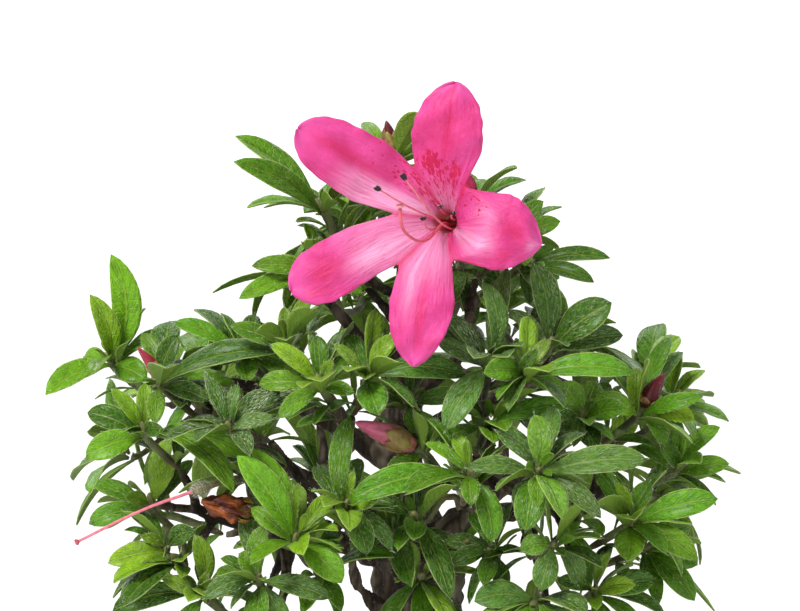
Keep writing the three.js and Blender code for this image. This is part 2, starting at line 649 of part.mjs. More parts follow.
// ---------------------------------------------------------------- the front, shoot by shoot
// at: the heart as [x, depth, seen height]. leaves: [tip x, tip seen height, how far the tip stands
// in front of the heart, half width]. lean: the way the heart points. bud: see BUDS.
const FRONT = {
  upper_left: {
    at: [-19, -20, 197], lean: [-0.5, -0.1, 0.8],
    leaves: [
      [-40, 215, 3, 2.4], [-40, 210, 8, 2.9], [-23, 202, -4, 1.6], [-13, 204, -9, 1.9],
      [-15, 190, -8, 1.6],
    ],
    fork: {
      at: [-20, -27, 181], lean: [-0.9, -0.2, 0.3],
      leaves: [
        [-36, 183, 4, 2.4], [-39, 175, 7, 2.2], [-32, 184, -6, 1.6], [-12, 189, -9, 1.6],
        [-9, 176, 5, 2.4],
      ],
    },
  },
  behind_top: {
    at: [-2, -14, 208], lean: [0, 0, 1], flat: true,
    leaves: [[-9, 219, -3, 2.4], [4, 220, -3, 2.4], [-13, 211, -8, 2], [7, 213, -10, 1.9]],
  },
  right_of_bloom: {
    at: [28, -24, 190], lean: [0.6, -0.1, 0.7],
    leaves: [[35, 199, -2, 2.2], [39, 194, 3, 2.4], [24, 201, -10, 1.9], [34, 186, -8, 2]],
    fork: {
      at: [17, -18, 197], lean: [0.1, 0, 1], flat: true,
      leaves: [[21, 205, -2, 1.7], [22, 202, -8, 2.2], [10, 201, -10, 1.9]],
    },
  },
  right_sickles: {
    at: [30, -28, 183], lean: [0.8, -0.2, 0.5],
    leaves: [[51, 185, 2, 1.7], [47, 179, 8, 1.7], [39, 180, -6, 1.5], [39, 175, -9, 1.4]],
  },
  right_broad: {
    at: [36, -40, 163], lean: [0.3, -0.4, 0.9],
    leaves: [
      [32, 184, 2, 3.4], [51, 174, 3, 4.1], [54, 166, -3, 2.8], [26, 172, 2, 1.9],
      [43, 172, -8, 1.4],
    ],
  },
  right_of_tip: {
    at: [30, -50, 156], lean: [0.2, -0.5, 0.8],
    leaves: [
      [56, 157, 3, 2.8], [20, 157, 10, 3], [33, 163, 7, 1.6], [36, 165, -3, 1.6],
      [40, 152, -3, 2],
    ],
  },
  hanging_pair: {
    at: [21, -44, 159], lean: [-0.3, -0.4, 0.8],
    leaves: [
      [20, 179, 1, 2.3], [26, 183, -3, 2.3], [11, 173, 2, 1.9], [9, 165, 6, 2.3],
      [11, 143, 11, 3.6],
    ],
  },
  under_tip: {
    at: [-8, -48, 156], lean: [-0.2, -0.5, 0.8],
    leaves: [
      [-16, 164, 3, 1.4], [-1, 166, -1, 2.3], [16, 156, -2, 3.1], [-5, 147, 12, 3.6],
      [-13, 166, -5, 2.3],
    ],
    fork: {
      at: [2, -37, 149], lean: [0.3, -0.6, 0.5],
      leaves: [[16, 151, 2, 2.3], [4, 142, 8, 2.3], [-5, 152, -4, 1.8]],
    },
  },
  left_fan: {
    at: [-19, -50, 154], lean: [-0.3, -0.4, 0.9],
    leaves: [
      [-31, 164, 3, 2.3], [-11, 152, 7, 1.8], [-29, 146, 8, 2.3], [-20, 166, -4, 2.3],
      [-16, 160, 3, 1.4], [-34, 154, -3, 2.5],
    ],
    fork: {
      at: [-27, -42, 163], lean: [-0.6, -0.2, 0.7],
      leaves: [[-41, 170, 2, 2.3], [-28, 173, -3, 1.9], [-22, 176, -8, 1.9]],
    },
  },
  left_high_tip: {
    at: [-38, -36, 161], lean: [-0.4, -0.4, 0.8],
    leaves: [
      [-55, 169, -1, 1.9], [-44, 162, 3, 1.6], [-44, 159, -2, 1.4], [-37, 155, 6, 2.9],
      [-24, 155, 4, 2.9],
    ],
  },
  long_arch: {
    at: [-58, -34, 154], lean: [-0.3, -0.4, 0.9], flat: true,
    leaves: [
      [-28, 164, 7, 2.6], [-54, 166, -2, 2.6], [-63, 166, -3, 2.3], [-46, 150, 9, 2.3],
      [-59, 146, 10, 2.3],
    ],
  },
  far_left: {
    at: [-71, -12, 159], lean: [-0.4, -0.1, 0.9],
    leaves: [
      [-71, 186, 1, 3.8], [-76, 176, 6, 3], [-55, 167, -2, 1.5], [-62, 155, 9, 3.4],
      [-66, 173, -5, 2], [-78, 160, -4, 2.5],
    ],
  },
  lime_left: {
    at: [-62, -38, 142], lean: [-0.2, -0.3, 0.9],
    leaves: [
      [-36, 137, 6, 3.6], [-76, 136, 5, 3.4], [-70, 153, 4, 1.9], [-62, 154, -1, 2.3],
      [-57, 145, 7, 1.9], [-76, 147, -4, 3], [-40, 128, 2, 2.4],
    ],
  },
  hairy_left: {
    at: [-41, -46, 143], lean: [-0.2, -0.6, 0.7],
    leaves: [
      [-31, 152, 3, 2.5], [-39, 154, -3, 1.6], [-30, 146, 8, 1.9], [-47, 154, -3, 2.3],
      [-47, 159, -6, 1.6],
    ],
    fork: {
      at: [-38, -40, 131], lean: [-0.7, -0.5, 0.1], flat: true,
      leaves: [[-46, 134, 5, 2], [-43, 138, -2, 2], [-34, 124, -4, 2]],
    },
  },
  left_stem: {
    at: [-61, -28, 124], lean: [-0.1, -0.2, 1],
    leaves: [
      [-55, 136, 3, 2.5], [-51, 134, -2, 1.9], [-67, 126, 6, 1.9], [-76, 121, 3, 2.7],
      [-72, 118, -3, 1.6],
    ],
    fork: {
      at: [-57, -33, 113], lean: [0.2, -0.8, 0.4],
      leaves: [[-50, 118, 6, 2.5], [-71, 110, 6, 2.9], [-63, 115, 2, 1.4], [-54, 108, -3, 1.9]],
    },
  },
  big_hanging: {
    at: [-25, -52, 116], lean: [0, -0.6, 0.6],
    leaves: [
      [-39, 137, 7, 3.6], [-14, 106, 7, 3.8], [-24, 130, 1, 1.9], [-16, 127, -5, 2.3],
      [-36, 124, -4, 2.3], [-36, 137, -3, 2.7],
    ],
  },
  centre_low: {
    at: [-13, -52, 124], lean: [0.1, -0.6, 0.7],
    leaves: [
      [-8, 113, 8, 3.1], [-5, 127, 5, 2.4], [-11, 131, 6, 1.4], [-2, 112, 1, 2],
      [2, 120, -3, 2.3], [-12, 145, -4, 2], [-20, 134, -2, 2.5],
    ],
  },
  long_leaf: {
    at: [17, -56, 132], lean: [0, -0.5, 0.7],
    leaves: [
      [-12, 126, 4, 3.4], [22, 116, 5, 3.1], [17, 125, 9, 2.3], [6, 140, 3, 1.4],
      [13, 142, -4, 2],
    ],
  },
  centre_bud: {
    at: [5, -45, 138], lean: [-0.8, -0.25, 0.45], flat: true,
    leaves: [[-3, 133, 3, 2.5], [9, 146, -3, 1.9], [2, 148, -5, 1.8]],
  },
  middle_right: {
    at: [21, -44, 144], lean: [0, -0.6, 0.7],
    leaves: [[41, 149, 3, 2.3], [9, 139, 5, 1.9], [30, 139, 5, 2.3], [12, 150, -3, 2]],
  },
  right_star: {
    at: [33, -58, 133], lean: [0.1, -0.9, 0.4],
    leaves: [
      [59, 136, 4, 3.4], [30, 119, 9, 3.8], [32, 147, 2, 3.1], [28, 124, 4, 2.7],
      [23, 143, 1, 2.5], [37, 148, -3, 2.5], [48, 122, 5, 2.4], [16, 134, 2, 2.3],
    ],
  },
  far_right_top: {
    at: [59, -22, 147], lean: [0.4, -0.3, 0.8], flat: true,
    leaves: [
      [72, 145, 3, 2.5], [67, 164, -2, 2.3], [70, 160, -4, 2], [58, 157, 3, 2.3],
      [74, 153, 2, 2], [47, 150, 5, 2.9], [65, 138, 4, 2],
    ],
  },
  right_end: {
    at: [68, -14, 132], lean: [0.7, -0.2, 0.5],
    leaves: [
      [68, 146, 2, 2], [79, 143, -2, 2.3], [58, 138, -3, 1.5], [64, 139, 5, 1.9],
      [81, 134, 4, 2.5],
    ],
  },
  heart_leaf: {
    at: [56, -38, 120], lean: [0.5, -0.4, 0.6],
    leaves: [
      [55, 111, 11, 3.6], [77, 126, 4, 3.4], [72, 111, 6, 3.1], [52, 130, 3, 1.4],
      [61, 130, -3, 2.5], [69, 106, -3, 1.5], [48, 133, -6, 2.3],
    ],
  },
  low_right: {
    at: [47, -40, 103], lean: [0.2, -0.6, 0.5],
    leaves: [
      [38, 106, 5, 1.9], [57, 105, 7, 2.3], [62, 106, -2, 3.1], [51, 113, 3, 1.4],
      [42, 117, -4, 2.5], [51, 91, 6, 2.7],
    ],
  },
  low_middle: {
    at: [37, -50, 115], lean: [0.1, -0.7, 0.2],
    leaves: [[34, 104, 7, 3.1], [29, 112, 4, 2.7], [43, 105, -4, 2.5]],
    fork: {
      at: [33, -46, 101], lean: [-0.4, -0.7, -0.1],
      leaves: [[18, 101, 3, 3.4], [29, 91, 6, 2.5], [42, 92, 4, 2.5]],
    },
  },
  mid_dark: {
    at: [23, -40, 113], lean: [-0.4, -0.6, 0.3],
    leaves: [[13, 110, 2, 2.3], [11, 117, -3, 2.3], [17, 123, -4, 2.3], [25, 103, 2, 2.3]],
  },
  over_trunk: {
    at: [-1, -34, 117], lean: [0.2, -0.7, 0.5],
    leaves: [[14, 114, 1, 2.3], [-5, 126, -3, 2], [-12, 112, -3, 2.3]],
  },
  low_left: {
    at: [-34, -48, 106], lean: [0, -0.6, 0.6],
    leaves: [
      [-32, 120, 2, 2.5], [-47, 102, 5, 2.5], [-17, 102, 5, 2.7], [-39, 113, -4, 2.5],
      [-28, 92, 4, 2.5],
    ],
  },
  bottom_left: {
    at: [-48, -36, 102], lean: [-0.3, -0.5, 0.6],
    leaves: [
      [-50, 117, 3, 2.5], [-70, 98, 3, 3.1], [-35, 108, 4, 2.7], [-58, 108, 5, 1.9],
      [-47, 108, 6, 1.4], [-54, 91, 6, 2.5],
    ],
  },
  right_inner: {
    at: [44.6, -24, 145], lean: [0, -0.5, 0.7],
    leaves: [
      [39, 154, 2, 3.1], [48, 156, -3, 3.2], [55, 149, 3, 2.7], [37, 145, 5, 2.9],
      [48, 138, 6, 2.8],
    ],
  },
  low_corner: {
    at: [60, -24, 113], lean: [0.5, -0.5, 0.3],
    leaves: [
      [73, 109, 2, 3.3], [72, 101, 5, 3], [63, 104, 4, 3], [71, 117, -2, 3],
    ],
  },
  // bears the open bloom
  bloom_bearer: {
    at: [15, -14, 183], lean: [0, -0.6, 0.7], flat: true,
    leaves: [[2, 190, -6, 2.3], [27, 176, -2, 2.3], [3, 176, -2, 2.5], [18, 170, 3, 2.3]],
  },
};

const DARK_SPRAYS = ["right_broad", "hairy_left", "left_stem", "right_sickles", "mid_dark", "over_trunk",
  "under_tip", "hanging_pair", "bottom_left"];
const LIME_SPRAYS = ["far_left", "lime_left", "left_fan", "far_right_top", "heart_leaf", "centre_low",
  "right_of_tip", "low_left"];

function toneOf(name) {
  if (DARK_SPRAYS.includes(name)) return "leafDark";
  return LIME_SPRAYS.includes(name) ? "leafLime" : "leaf";
}

// Leaf widths are those seen: a leaf longer than that width suggests is turned partly edge on.
function frontLeaf(heart, [x, height, forward, half]) {
  const tip = seen([x, heart.y - forward, height]);
  const chord = tip.clone().sub(heart);
  const along = chord.clone().normalize();
  const broad = THREE.MathUtils.clamp(chord.length() * 0.125, half, 3.9);
  const facing = THREE.MathUtils.clamp(half / broad, 0.3, 0.96);
  const face = across(vec(0, -1, 0.14), along).multiplyScalar(facing)
    .addScaledVector(across(vec(0.02, 0.05, 1), along), Math.sqrt(1 - facing ** 2));
  return { tip, half: broad, face, arch: LEAF.arch, depth: vec(0, -1, 0) };
}

function frontHeart(name, spec) {
  const heart = seen(spec.at);
  const axis = vec(...spec.lean).normalize();
  return {
    name, heart, axis, flat: spec.flat,
    leaves: spec.leaves.map((leaf) => frontLeaf(heart, leaf)),
  };
}

// ---------------------------------------------------------------- sides, back and top by rule
function ruleLeaves(heart, axis, count, random, low = 0) {
  const side = across(vec(0.3, 0.2, 1), axis);
  const other = axis.clone().cross(side);
  const offset = random() * Math.PI * 2;
  return Array.from({ length: count }, (_, i) => {
    const turn = offset + i * 2.39996;
    const upper = i >= count * 0.6;
    const spread = THREE.MathUtils.degToRad((upper ? 34 : 68) + (random() - 0.3) * 22 + low);
    const length = (upper ? 15 : 21) + random() * 7;
    const direction = side.clone().multiplyScalar(Math.cos(turn)).addScaledVector(other, Math.sin(turn))
      .multiplyScalar(Math.sin(spread)).addScaledVector(axis, Math.cos(spread));
    direction.z -= 0.12;
    direction.normalize();
    const tip = heart.clone().addScaledVector(direction, length);
    tip.z -= overSkyline(tip, 0);
    const face = axis.clone().multiplyScalar(0.8).add(vec(0, 0, 0.6))
      .addScaledVector(across(direction, axis), upper ? -0.5 : 0.1);
    const half = length * (0.115 + random() * 0.035);
    return { tip, half, face, arch: LEAF.arch * (0.7 + random() * 0.6), depth: axis };
  });
}

// The crown's skyline from the front: x and seen height. What grows by rule stays below it.
const SKYLINE = [
  [-90, 160], [-62, 165], [-48, 167], [-36, 169], [-27, 171], [-19, 190], [-12, 207], [-3, 213],
  [16, 204], [20, 198], [33, 196], [37, 178], [48, 174], [58, 162], [70, 157], [90, 150],
];
const skyline = (x) => {
  const after = Math.max(1, SKYLINE.findIndex(([place]) => place > x));
  const [[x0, z0], [x1, z1]] = [SKYLINE[after - 1], SKYLINE[after]];
  return THREE.MathUtils.mapLinear(THREE.MathUtils.clamp(x, x0, x1), x0, x1, z0, z1);
};
// How far a point must come down to look this much below the skyline.
const overSkyline = ({ x, y, z }, below) =>
  Math.max(0, z + (y - BLOOM_DEPTH) * Math.tan(SIGHT) - skyline(x) + below);

function domePoint(around, down) {
  const [cx, cy, cz] = CROWN.middle;
  const [rx, ry, rz] = CROWN.reach;
  return vec(
    cx + rx * Math.sin(down) * Math.cos(around),
    cy + ry * Math.sin(down) * Math.sin(around),
    cz + rz * Math.cos(down),
  );
}

const shoots = [];
for (const [name, spec] of Object.entries(FRONT)) {
  const shoot = frontHeart(name, spec);
  if (spec.fork) shoot.fork = frontHeart(name, spec.fork);
  shoots.push(shoot);
}

// Shoots at even spacing over the dome, none where a front shoot already stands.
const RULE_SHOOTS = 40;
const hearts = shoots.flatMap((shoot) => [shoot.heart, shoot.fork?.heart]).filter(Boolean);
const places = [];
for (let i = 0; i < 160; i++) {
  const random = stream(900 + i);
  const down = Math.acos(1 - (i + 0.5) / 160 * 1.52);
  const around = i * 2.39996 + 0.4;
  const point = domePoint(around, down);
  point.addScaledVector(vec(random() - 0.5, random() - 0.5, random() - 0.5), 4);
  point.z -= overSkyline(point, 13);
  places.push({ point, random });
}
const chosen = [];
for (const { point, random } of places) {
  const crowded = [...hearts, ...chosen.map((c) => c.point)].some((other) => other.distanceTo(point) < 21);
  const inFront = point.y < -22 && point.z > 97;
  if (!crowded && !inFront && chosen.length < RULE_SHOOTS) chosen.push({ point, random });
}
const outwardAt = (point) => {
  const out = point.clone().sub(vec(...CROWN.middle)).divide(vec(...CROWN.reach));
  return out.normalize().add(vec(0, 0, 0.45)).normalize();
};
// Neighbours share a stem: each open place takes its nearest free neighbour as its fork.
let number = 0;
const taken = new Set();
chosen.forEach((one, i) => {
  if (taken.has(i)) return;
  taken.add(i);
  const makeHeart = ({ point, random }) => {
    const axis = outwardAt(point);
    return { heart: point, axis, leaves: ruleLeaves(point, axis, 6, random, point.z < 110 ? 8 : 0) };
  };
  const shoot = { name: `shoot_${String(++number).padStart(2, "0")}`, ...makeHeart(one) };
  let partner = -1;
  chosen.forEach((two, j) => {
    if (taken.has(j)) return;
    const gap = two.point.distanceTo(one.point);
    if (gap < 34 && (partner < 0 || gap < chosen[partner].point.distanceTo(one.point))) partner = j;
  });
  if (partner >= 0) {
    taken.add(partner);
    shoot.fork = { name: shoot.name, ...makeHeart(chosen[partner]) };
  }
  shoots.push(shoot);
});

// ---------------------------------------------------------------- stems back to the limbs
for (const shoot of shoots) {
  const inward = vec(shoot.heart.x * 0.35, shoot.heart.y * 0.3 + 2, Math.min(shoot.heart.z - 20, 165));
  const back = shoot.axis.clone().negate().lerp(inward.sub(shoot.heart).normalize(), 0.55).normalize();
  const apart = shoot.fork ? shoot.heart.distanceTo(shoot.fork.heart) : 0;
  const length = Math.max(TWIG.length, apart * 0.75);
  shoot.root = shoot.heart.clone().addScaledVector(back, length);
  if (shoot.fork) {
    const backFork = shoot.fork.heart.clone().sub(shoot.root);
    if (backFork.length() < 9) shoot.root.addScaledVector(backFork.normalize(), -6);
  }
  shoot.stemCurve = new THREE.QuadraticBezierCurve3(
    shoot.root,
    mix(shoot.root, shoot.heart, 0.5).addScaledVector(shoot.axis, 1.5),
    shoot.heart,
  );
}

// ---------------------------------------------------------------- the open bloom
const BLOOM = {
  mouth: seen([9.8, BLOOM_DEPTH, 193.8]),
  axis: vec(-0.18, -0.97, 0.16).normalize(),
  depth: 25,
  thickness: 0.8,
  // tube rings: depth behind the mouth, inner radius
  tube: [[25, 3.4], [13, 4.4], [4.6, 8]],
};
// Lobes anticlockwise from the right: tip as [x, seen height, forward of the mouth], half width, the
// notch before it as [turn in degrees, radius], and how far its middle bows forward.
const LOBES = [
  { tip: [33.8, 188, 3], half: 9.6, notch: [-74, 9.5], bow: 4 },
  { tip: [13.4, 227.3, -1], half: 8.8, notch: [55, 9.5], bow: 4.5 },
  { tip: [-24.5, 216, 4], half: 8, notch: [117, 14], bow: 3.5 },
  { tip: [-26, 176.5, 6], half: 8, notch: [171, 11], bow: 4 },
  { tip: [3.2, 158.6, 9], half: 8.2, notch: [225.6, 14.5], bow: 4.5 },
];
const LOBE_ROWS = [
  // [share of the lobe's length, share of its half width]
  [0.3, 0.9],
  [0.57, 1],
  [0.81, 0.78],
  [0.95, 0.42],
];
const acrossLobe = [-1, -0.5, 0, 0.5];

const bloomRight = across(vec(1, 0, 0), BLOOM.axis);
const bloomUp = BLOOM.axis.clone().cross(bloomRight);
const bloomPoint = (turn, radius, forward) =>
  BLOOM.mouth.clone()
    .addScaledVector(bloomRight, radius * Math.cos(turn))
    .addScaledVector(bloomUp, radius * Math.sin(turn))
    .addScaledVector(BLOOM.axis, forward);

function corolla() {
  const points = [];
  const faces = [];
  const add = (p) => points.push(p) - 1;
  const quad = (a, b, c, d) => faces.push([a, b, c], [a, c, d]);
  const rad = THREE.MathUtils.degToRad;
  const columns = LOBES.flatMap(({ notch: [turn, radius] }, i) => {
    const [nextTurn, nextRadius] = LOBES[(i + 1) % 5].notch;
    const sweep = (nextTurn - turn + 360) % 360;
    return acrossLobe.map((u, k) => {
      const share = k / 4;
      const bulge = 1 - u * u;
      return {
        turn: rad(turn + sweep * share),
        even: rad(-74 + 72 * (i + share)),
        radius: radius + (nextRadius - radius) * share + 2.2 * bulge,
        forward: 0.9 * bulge,
      };
    });
  });
  const rings = BLOOM.tube.map(([behind, radius], i) => {
    const share = i / BLOOM.tube.length;
    return columns.map(({ turn, even }) => add(bloomPoint(even + (turn - even) * share, radius, -behind)));
  });
  rings.push(columns.map(({ turn, radius, forward }) => add(bloomPoint(turn, radius, forward))));
  for (let i = 1; i < rings.length; i++) {
    columns.forEach((_, k) => {
      const after = (k + 1) % columns.length;
      quad(rings[i - 1][k], rings[i][k], rings[i][after], rings[i - 1][after]);
    });
  }
  const mouth = rings[rings.length - 1];
  LOBES.forEach(({ tip: [x, height, forward], half, bow }, i) => {
    let row = [0, 1, 2, 3, 4].map((k) => mouth[(i * 4 + k) % columns.length]);
    const from = points[row[2]];
    const tip = seen([x, BLOOM_DEPTH - forward, height]);
    const rib = new THREE.QuadraticBezierCurve3(
      from.clone(),
      mix(from, tip, 0.5).addScaledVector(BLOOM.axis, bow),
      tip,
    );
    for (const [share, wide] of LOBE_ROWS) {
      const centre = rib.getPoint(share);
      const side = BLOOM.axis.clone().cross(rib.getTangent(share)).normalize();
      const after = [-1, -0.5, 0, 0.5, 1].map((u) =>
        add(centre.clone()
          .addScaledVector(side, u * half * wide)
          .addScaledVector(BLOOM.axis, -1.6 * u * u * wide + 0.5 * Math.sin(9 * share + 4 * u + i))));
      for (let k = 0; k < 4; k++) quad(row[k], after[k], after[k + 1], row[k + 1]);
      row = after;
    }
    const end = add(tip);
    for (let k = 0; k < 4; k++) faces.push([row[k], end, row[k + 1]]);
  });
  return thicken(points, faces, BLOOM.thickness);
}

// Filaments rise from one ring round the ovary; each ends in a small dark anther.
const ANTHERS = [
  // [x, seen height, forward of the mouth]
  [-4.8, 201, 13],
  [1.3, 203.6, 11],
  [9.5, 197, 9],
  [5.6, 193.9, 12],
  [12.6, 195.4, 7],
];

function stamens() {
  const foot = -BLOOM.depth + 0.4;
  const skin = new Skin();
  const sides = 2 * ANTHERS.length;
  const ringTurn = (i) => (2 * Math.PI * i) / sides;
  const profile = [[1.75, 0], [2.95, 0], [2.95, 1.6], [1.75, 1.6]];
  const rings = profile.map(([radius, rise]) =>
    Array.from({ length: sides }, (_, i) => skin.add(bloomPoint(ringTurn(i), radius, foot + rise))));
  rings.forEach((ring, i) => {
    if (i !== 2) skin.wall(ring, rings[(i + 1) % 4]);
  });
  // the ring's upper face carries the filaments on every other facet
  const top = skin.facets(rings[2], rings[3]);
  const free = new Set(ANTHERS);
  top.forEach((facet, i) => {
    if (i % 2) {
      skin.quad(...facet);
      return;
    }
    const turn = ringTurn(i + 0.5);
    const [anther] = [...free].sort((one, other) => angleTo(one, turn) - angleTo(other, turn));
    free.delete(anther);
    const [x, height, forward] = anther;
    const end = seen([x, BLOOM_DEPTH - forward, height]);
    const curve = new THREE.CatmullRomCurve3([
      bloomPoint(turn, 2.35, foot + 1.6),
      bloomPoint(turn, 2.5, -14),
      bloomPoint(turn, 3.1, -4),
      bloomPoint(turn, 3.6, 2).lerp(end, 0.35).addScaledVector(BLOOM.axis, 2),
      end,
    ]);
    let ring = facet;
    for (const t of [0.14, 0.36, 0.58, 0.78, 0.96]) {
      const after = skin.next(ring, curve.getPoint(t), curve.getTangent(t), 0.42);
      skin.wall(ring, after);
      ring = after;
    }
    const way = curve.getTangent(1);
    for (const [along, radius] of [[0.2, 0.95], [2, 0.75]]) {
      const after = skin.next(ring, end.clone().addScaledVector(way, along), way, radius);
      skin.wall(ring, after);
      ring = after;
    }
    skin.capEnd(ring);
  });
  return skin;
}

// The angle between an anther and a turn round the bloom's axis.
function angleTo([x, height], turn) {
  const at = Math.atan2(height - BLOOM.mouth.z, x - BLOOM.mouth.x);
  return Math.abs(Math.atan2(Math.sin(at - turn), Math.cos(at - turn)));
}

function pistil() {
  const foot = -BLOOM.depth + 0.4;
  const way = [
    bloomPoint(0, 0, foot),
    bloomPoint(0, 0, foot + 2.6),
    bloomPoint(4.2, 0.4, -14),
    bloomPoint(4.2, 0.8, -4),
    seen([6, BLOOM_DEPTH - 8, 188.9]),
    seen([2.6, BLOOM_DEPTH - 15, 189.6]),
    seen([0.4, BLOOM_DEPTH - 19, 192.4]),
    seen([0, BLOOM_DEPTH - 20, 197.4]),
  ];
  const curve = new THREE.CatmullRomCurve3(way);
  const radius = (t) => {
    if (t < 0.05) return 1.1;
    if (t < 0.09) return 1.25;
    return t > 0.97 ? 0.95 : 0.5;
  };
  const skin = new Skin();
  let ring = skin.start(curve.getPoint(0), curve.getTangent(0), radius(0), 5);
  skin.capStart(ring);
  for (const t of [0.06, 0.12, 0.25, 0.38, 0.5, 0.6, 0.68, 0.76, 0.83, 0.9, 0.95, 1]) {
    const after = skin.next(ring, curve.getPoint(t), curve.getTangent(t), radius(t));
    skin.wall(ring, after);
    ring = after;
  }
  skin.capEnd(ring);
  return skin;
}

// The stalk, and the green cup with its five short sepals.
function calyx(bearer) {
  const top = -BLOOM.depth - 0.35;
  const way = new THREE.CatmullRomCurve3([
    bearer.heart.clone().addScaledVector(bearer.axis, HEART.band + TWIG.gap),
    bearer.heart.clone().addScaledVector(bearer.axis, HEART.band + 3.5),
    bloomPoint(0, 0, top - 8),
    bloomPoint(0, 0, top - 3.4),
  ]);
  const skin = new Skin();
  let ring = skin.start(way.getPoint(0), way.getTangent(0), 0.95, 10);
  skin.capStart(ring);
  for (const t of [0.3, 0.65, 1]) {
    const after = skin.next(ring, way.getPoint(t), way.getTangent(t), 0.95);
    skin.wall(ring, after);
    ring = after;
  }
  for (const [behind, radius, sepal] of [[2, 2.3, 0], [0.9, 4, 0.5], [0, 4.3, 1.1]]) {
    const centre = bloomPoint(0, 0, top - behind);
    const after = skin.next(ring, centre, BLOOM.axis, radius);
    after.forEach((p, i) => skin.points[p].lerp(centre, i % 2 ? -sepal * 0.16 : sepal * 0.1));
    skin.wall(ring, after);
    ring = after;
  }
  skin.capEnd(ring);
  return skin;
}

// ---------------------------------------------------------------- buds and the spent bloom
const BUDS = {
  bud_left: { on: "long_arch", tip: [-63.5, -38, 163], radius: 1.6 },
  bud_centre: { on: "centre_bud", tip: [-10.8, -51, 145], radius: 3 },
  bud_right: { on: "far_right_top", tip: [64.5, -27, 156.5], radius: 2.2 },
  bud_top: { on: "behind_top", tip: [-3.4, -15, 219], radius: 2 },
  bud_behind: { on: "right_of_bloom", fork: true, tip: [16.5, -21, 206], radius: 2 },
};
const BUD_RINGS = [
  // [share of the length, share of the radius]
  [0, 0.5],
  [0.14, 0.85],
  [0.36, 1],
  [0.62, 0.84],
  [0.85, 0.42],
];

function bud(bearer, { tip, radius }) {
  const from = bearer.heart.clone().addScaledVector(bearer.axis, HEART.band + TWIG.gap);
  const to = seen(tip);
  const way = new THREE.QuadraticBezierCurve3(
    from,
    from.clone().addScaledVector(bearer.axis, from.distanceTo(to) * 0.4),
    to,
  );
  const skin = new Skin();
  let ring = null;
  BUD_RINGS.forEach(([share, wide], i) => {
    const axis = way.getTangent(share);
    const twist = vec(0.3, 0.2, 1).applyAxisAngle(axis, i * 0.3);
    const turned = skin.start(way.getPoint(share), axis, radius * wide, 7, twist);
    if (ring) skin.wall(ring, turned);
    else skin.capStart(turned);
    ring = turned;
  });
  skin.fan(ring, skin.add(to));
  return skin;
}

// Old stalk, woolly ovary and the long style that stays when the petals wilt.
function spentStyle(bearer) {
  const curve = new THREE.CatmullRomCurve3([
    bearer.heart.clone().addScaledVector(bearer.axis, HEART.band + TWIG.gap),
    seen([-43, -45, 130.2]),
    seen([-46.6, -47, 129]),
    seen([-50, -49, 128]),
    seen([-62, -54, 123.6]),
    seen([-77.5, -58, 116]),
  ]);
  const radius = (t) => (t < 0.1 ? 0.8 : t < 0.24 ? 1.5 : t > 0.98 ? 0.95 : 0.55);
  const skin = new Skin();
  let ring = skin.start(curve.getPoint(0), curve.getTangent(0), 0.8, 5);
  skin.capStart(ring);
  for (const t of [0.09, 0.14, 0.2, 0.26, 0.38, 0.5, 0.62, 0.74, 0.86, 0.96, 1]) {
    const after = skin.next(ring, curve.getPoint(t), curve.getTangent(t), radius(t));
    skin.wall(ring, after);
    ring = after;
  }
  skin.capEnd(ring);
  return skin;
}

// The wilted corolla, crumpled and folded, hung under the ovary.
function spentBloom() {
  const curve = new THREE.CatmullRomCurve3([
    seen([-48, -45, 125.6]),
    seen([-44, -44.5, 124.4]),
    seen([-40, -44, 123.6]),
    seen([-36.6, -43.5, 123]),
  ]);
  const skin = new Skin();
  let ring = null;
  [[0, 1.1], [0.2, 2.3], [0.45, 2.7], [0.7, 2.9], [0.9, 2.2], [1, 1]].forEach(([share, radius], i) => {
    const centre = curve.getPoint(share);
    const after = ring
      ? skin.next(ring, centre, curve.getTangent(share), radius)
      : skin.start(centre, curve.getTangent(share), radius, 12);
    after.forEach((p, k) => skin.points[p].lerp(centre, k % 2 ? 0.2 : 0.05 * Math.sin(i * 2 + k)));
    if (ring) skin.wall(ring, after);
    else skin.capStart(after);
    ring = after;
  });
  skin.capEnd(ring);
  return skin;
}

// ---------------------------------------------------------------- putting the tree together
const wood = []; // trunk, limbs and twigs, which twigs may join but leaves stay clear of
const named = (name) => shoots.find((shoot) => shoot.name === name);
const pieces = new Map();
const keep = (name, skin, look) => {
  space.add(skin.triangles());
  pieces.set(name, { geometry: skin.geometry(), look });
};

keep("bloom_corolla", corolla(), LOOKS.petal);
keep("bloom_stamens", stamens(), LOOKS.filament);
keep("bloom_pistil", pistil(), LOOKS.style);
keep("bloom_calyx", calyx(named("bloom_bearer")), LOOKS.sepal);
for (const [name, spec] of Object.entries(BUDS)) {
  const bearer = named(spec.on);
  keep(name, bud(spec.fork ? bearer.fork : bearer, spec), LOOKS.bud);
}
keep("spent_bloom", spentBloom(), LOOKS.spent);
keep("spent_style", spentStyle(named("hairy_left").fork), LOOKS.style);

shoots.forEach(startShoot);

let tree = solid(trunkSkin(0).geometry());
wood.push(...trunkSkin(0).triangles());
const joinTube = (skin) => {
  wood.push(...skin.triangles());
  tree = tree.add(solid(skin.geometry()));
};
const holds = [];
for (const limb of LIMBS) {
  const curve = curveOf(limb);
  const radius = taper(limb.radius);
  const steps = Math.round(curve.getLength() / 15);
  joinTube(tube(curve, radius, 5, steps));
  for (let i = 2; i <= 12; i++) {
    holds.push({ point: curve.getPoint(i / 12), way: curve.getTangent(i / 12) });
  }
}
for (let z = 112; z <= 175; z += 7) {
  const share = spineShare(z);
  holds.push({ point: spine.getPoint(share), way: spine.getTangent(share) });
}
for (const twig of BARE_TWIGS) {
  const curve = curveOf(twig);
  joinTube(tube(curve, taper(twig.radius), 4, Math.max(3, Math.round(curve.getLength() / 9))));
}

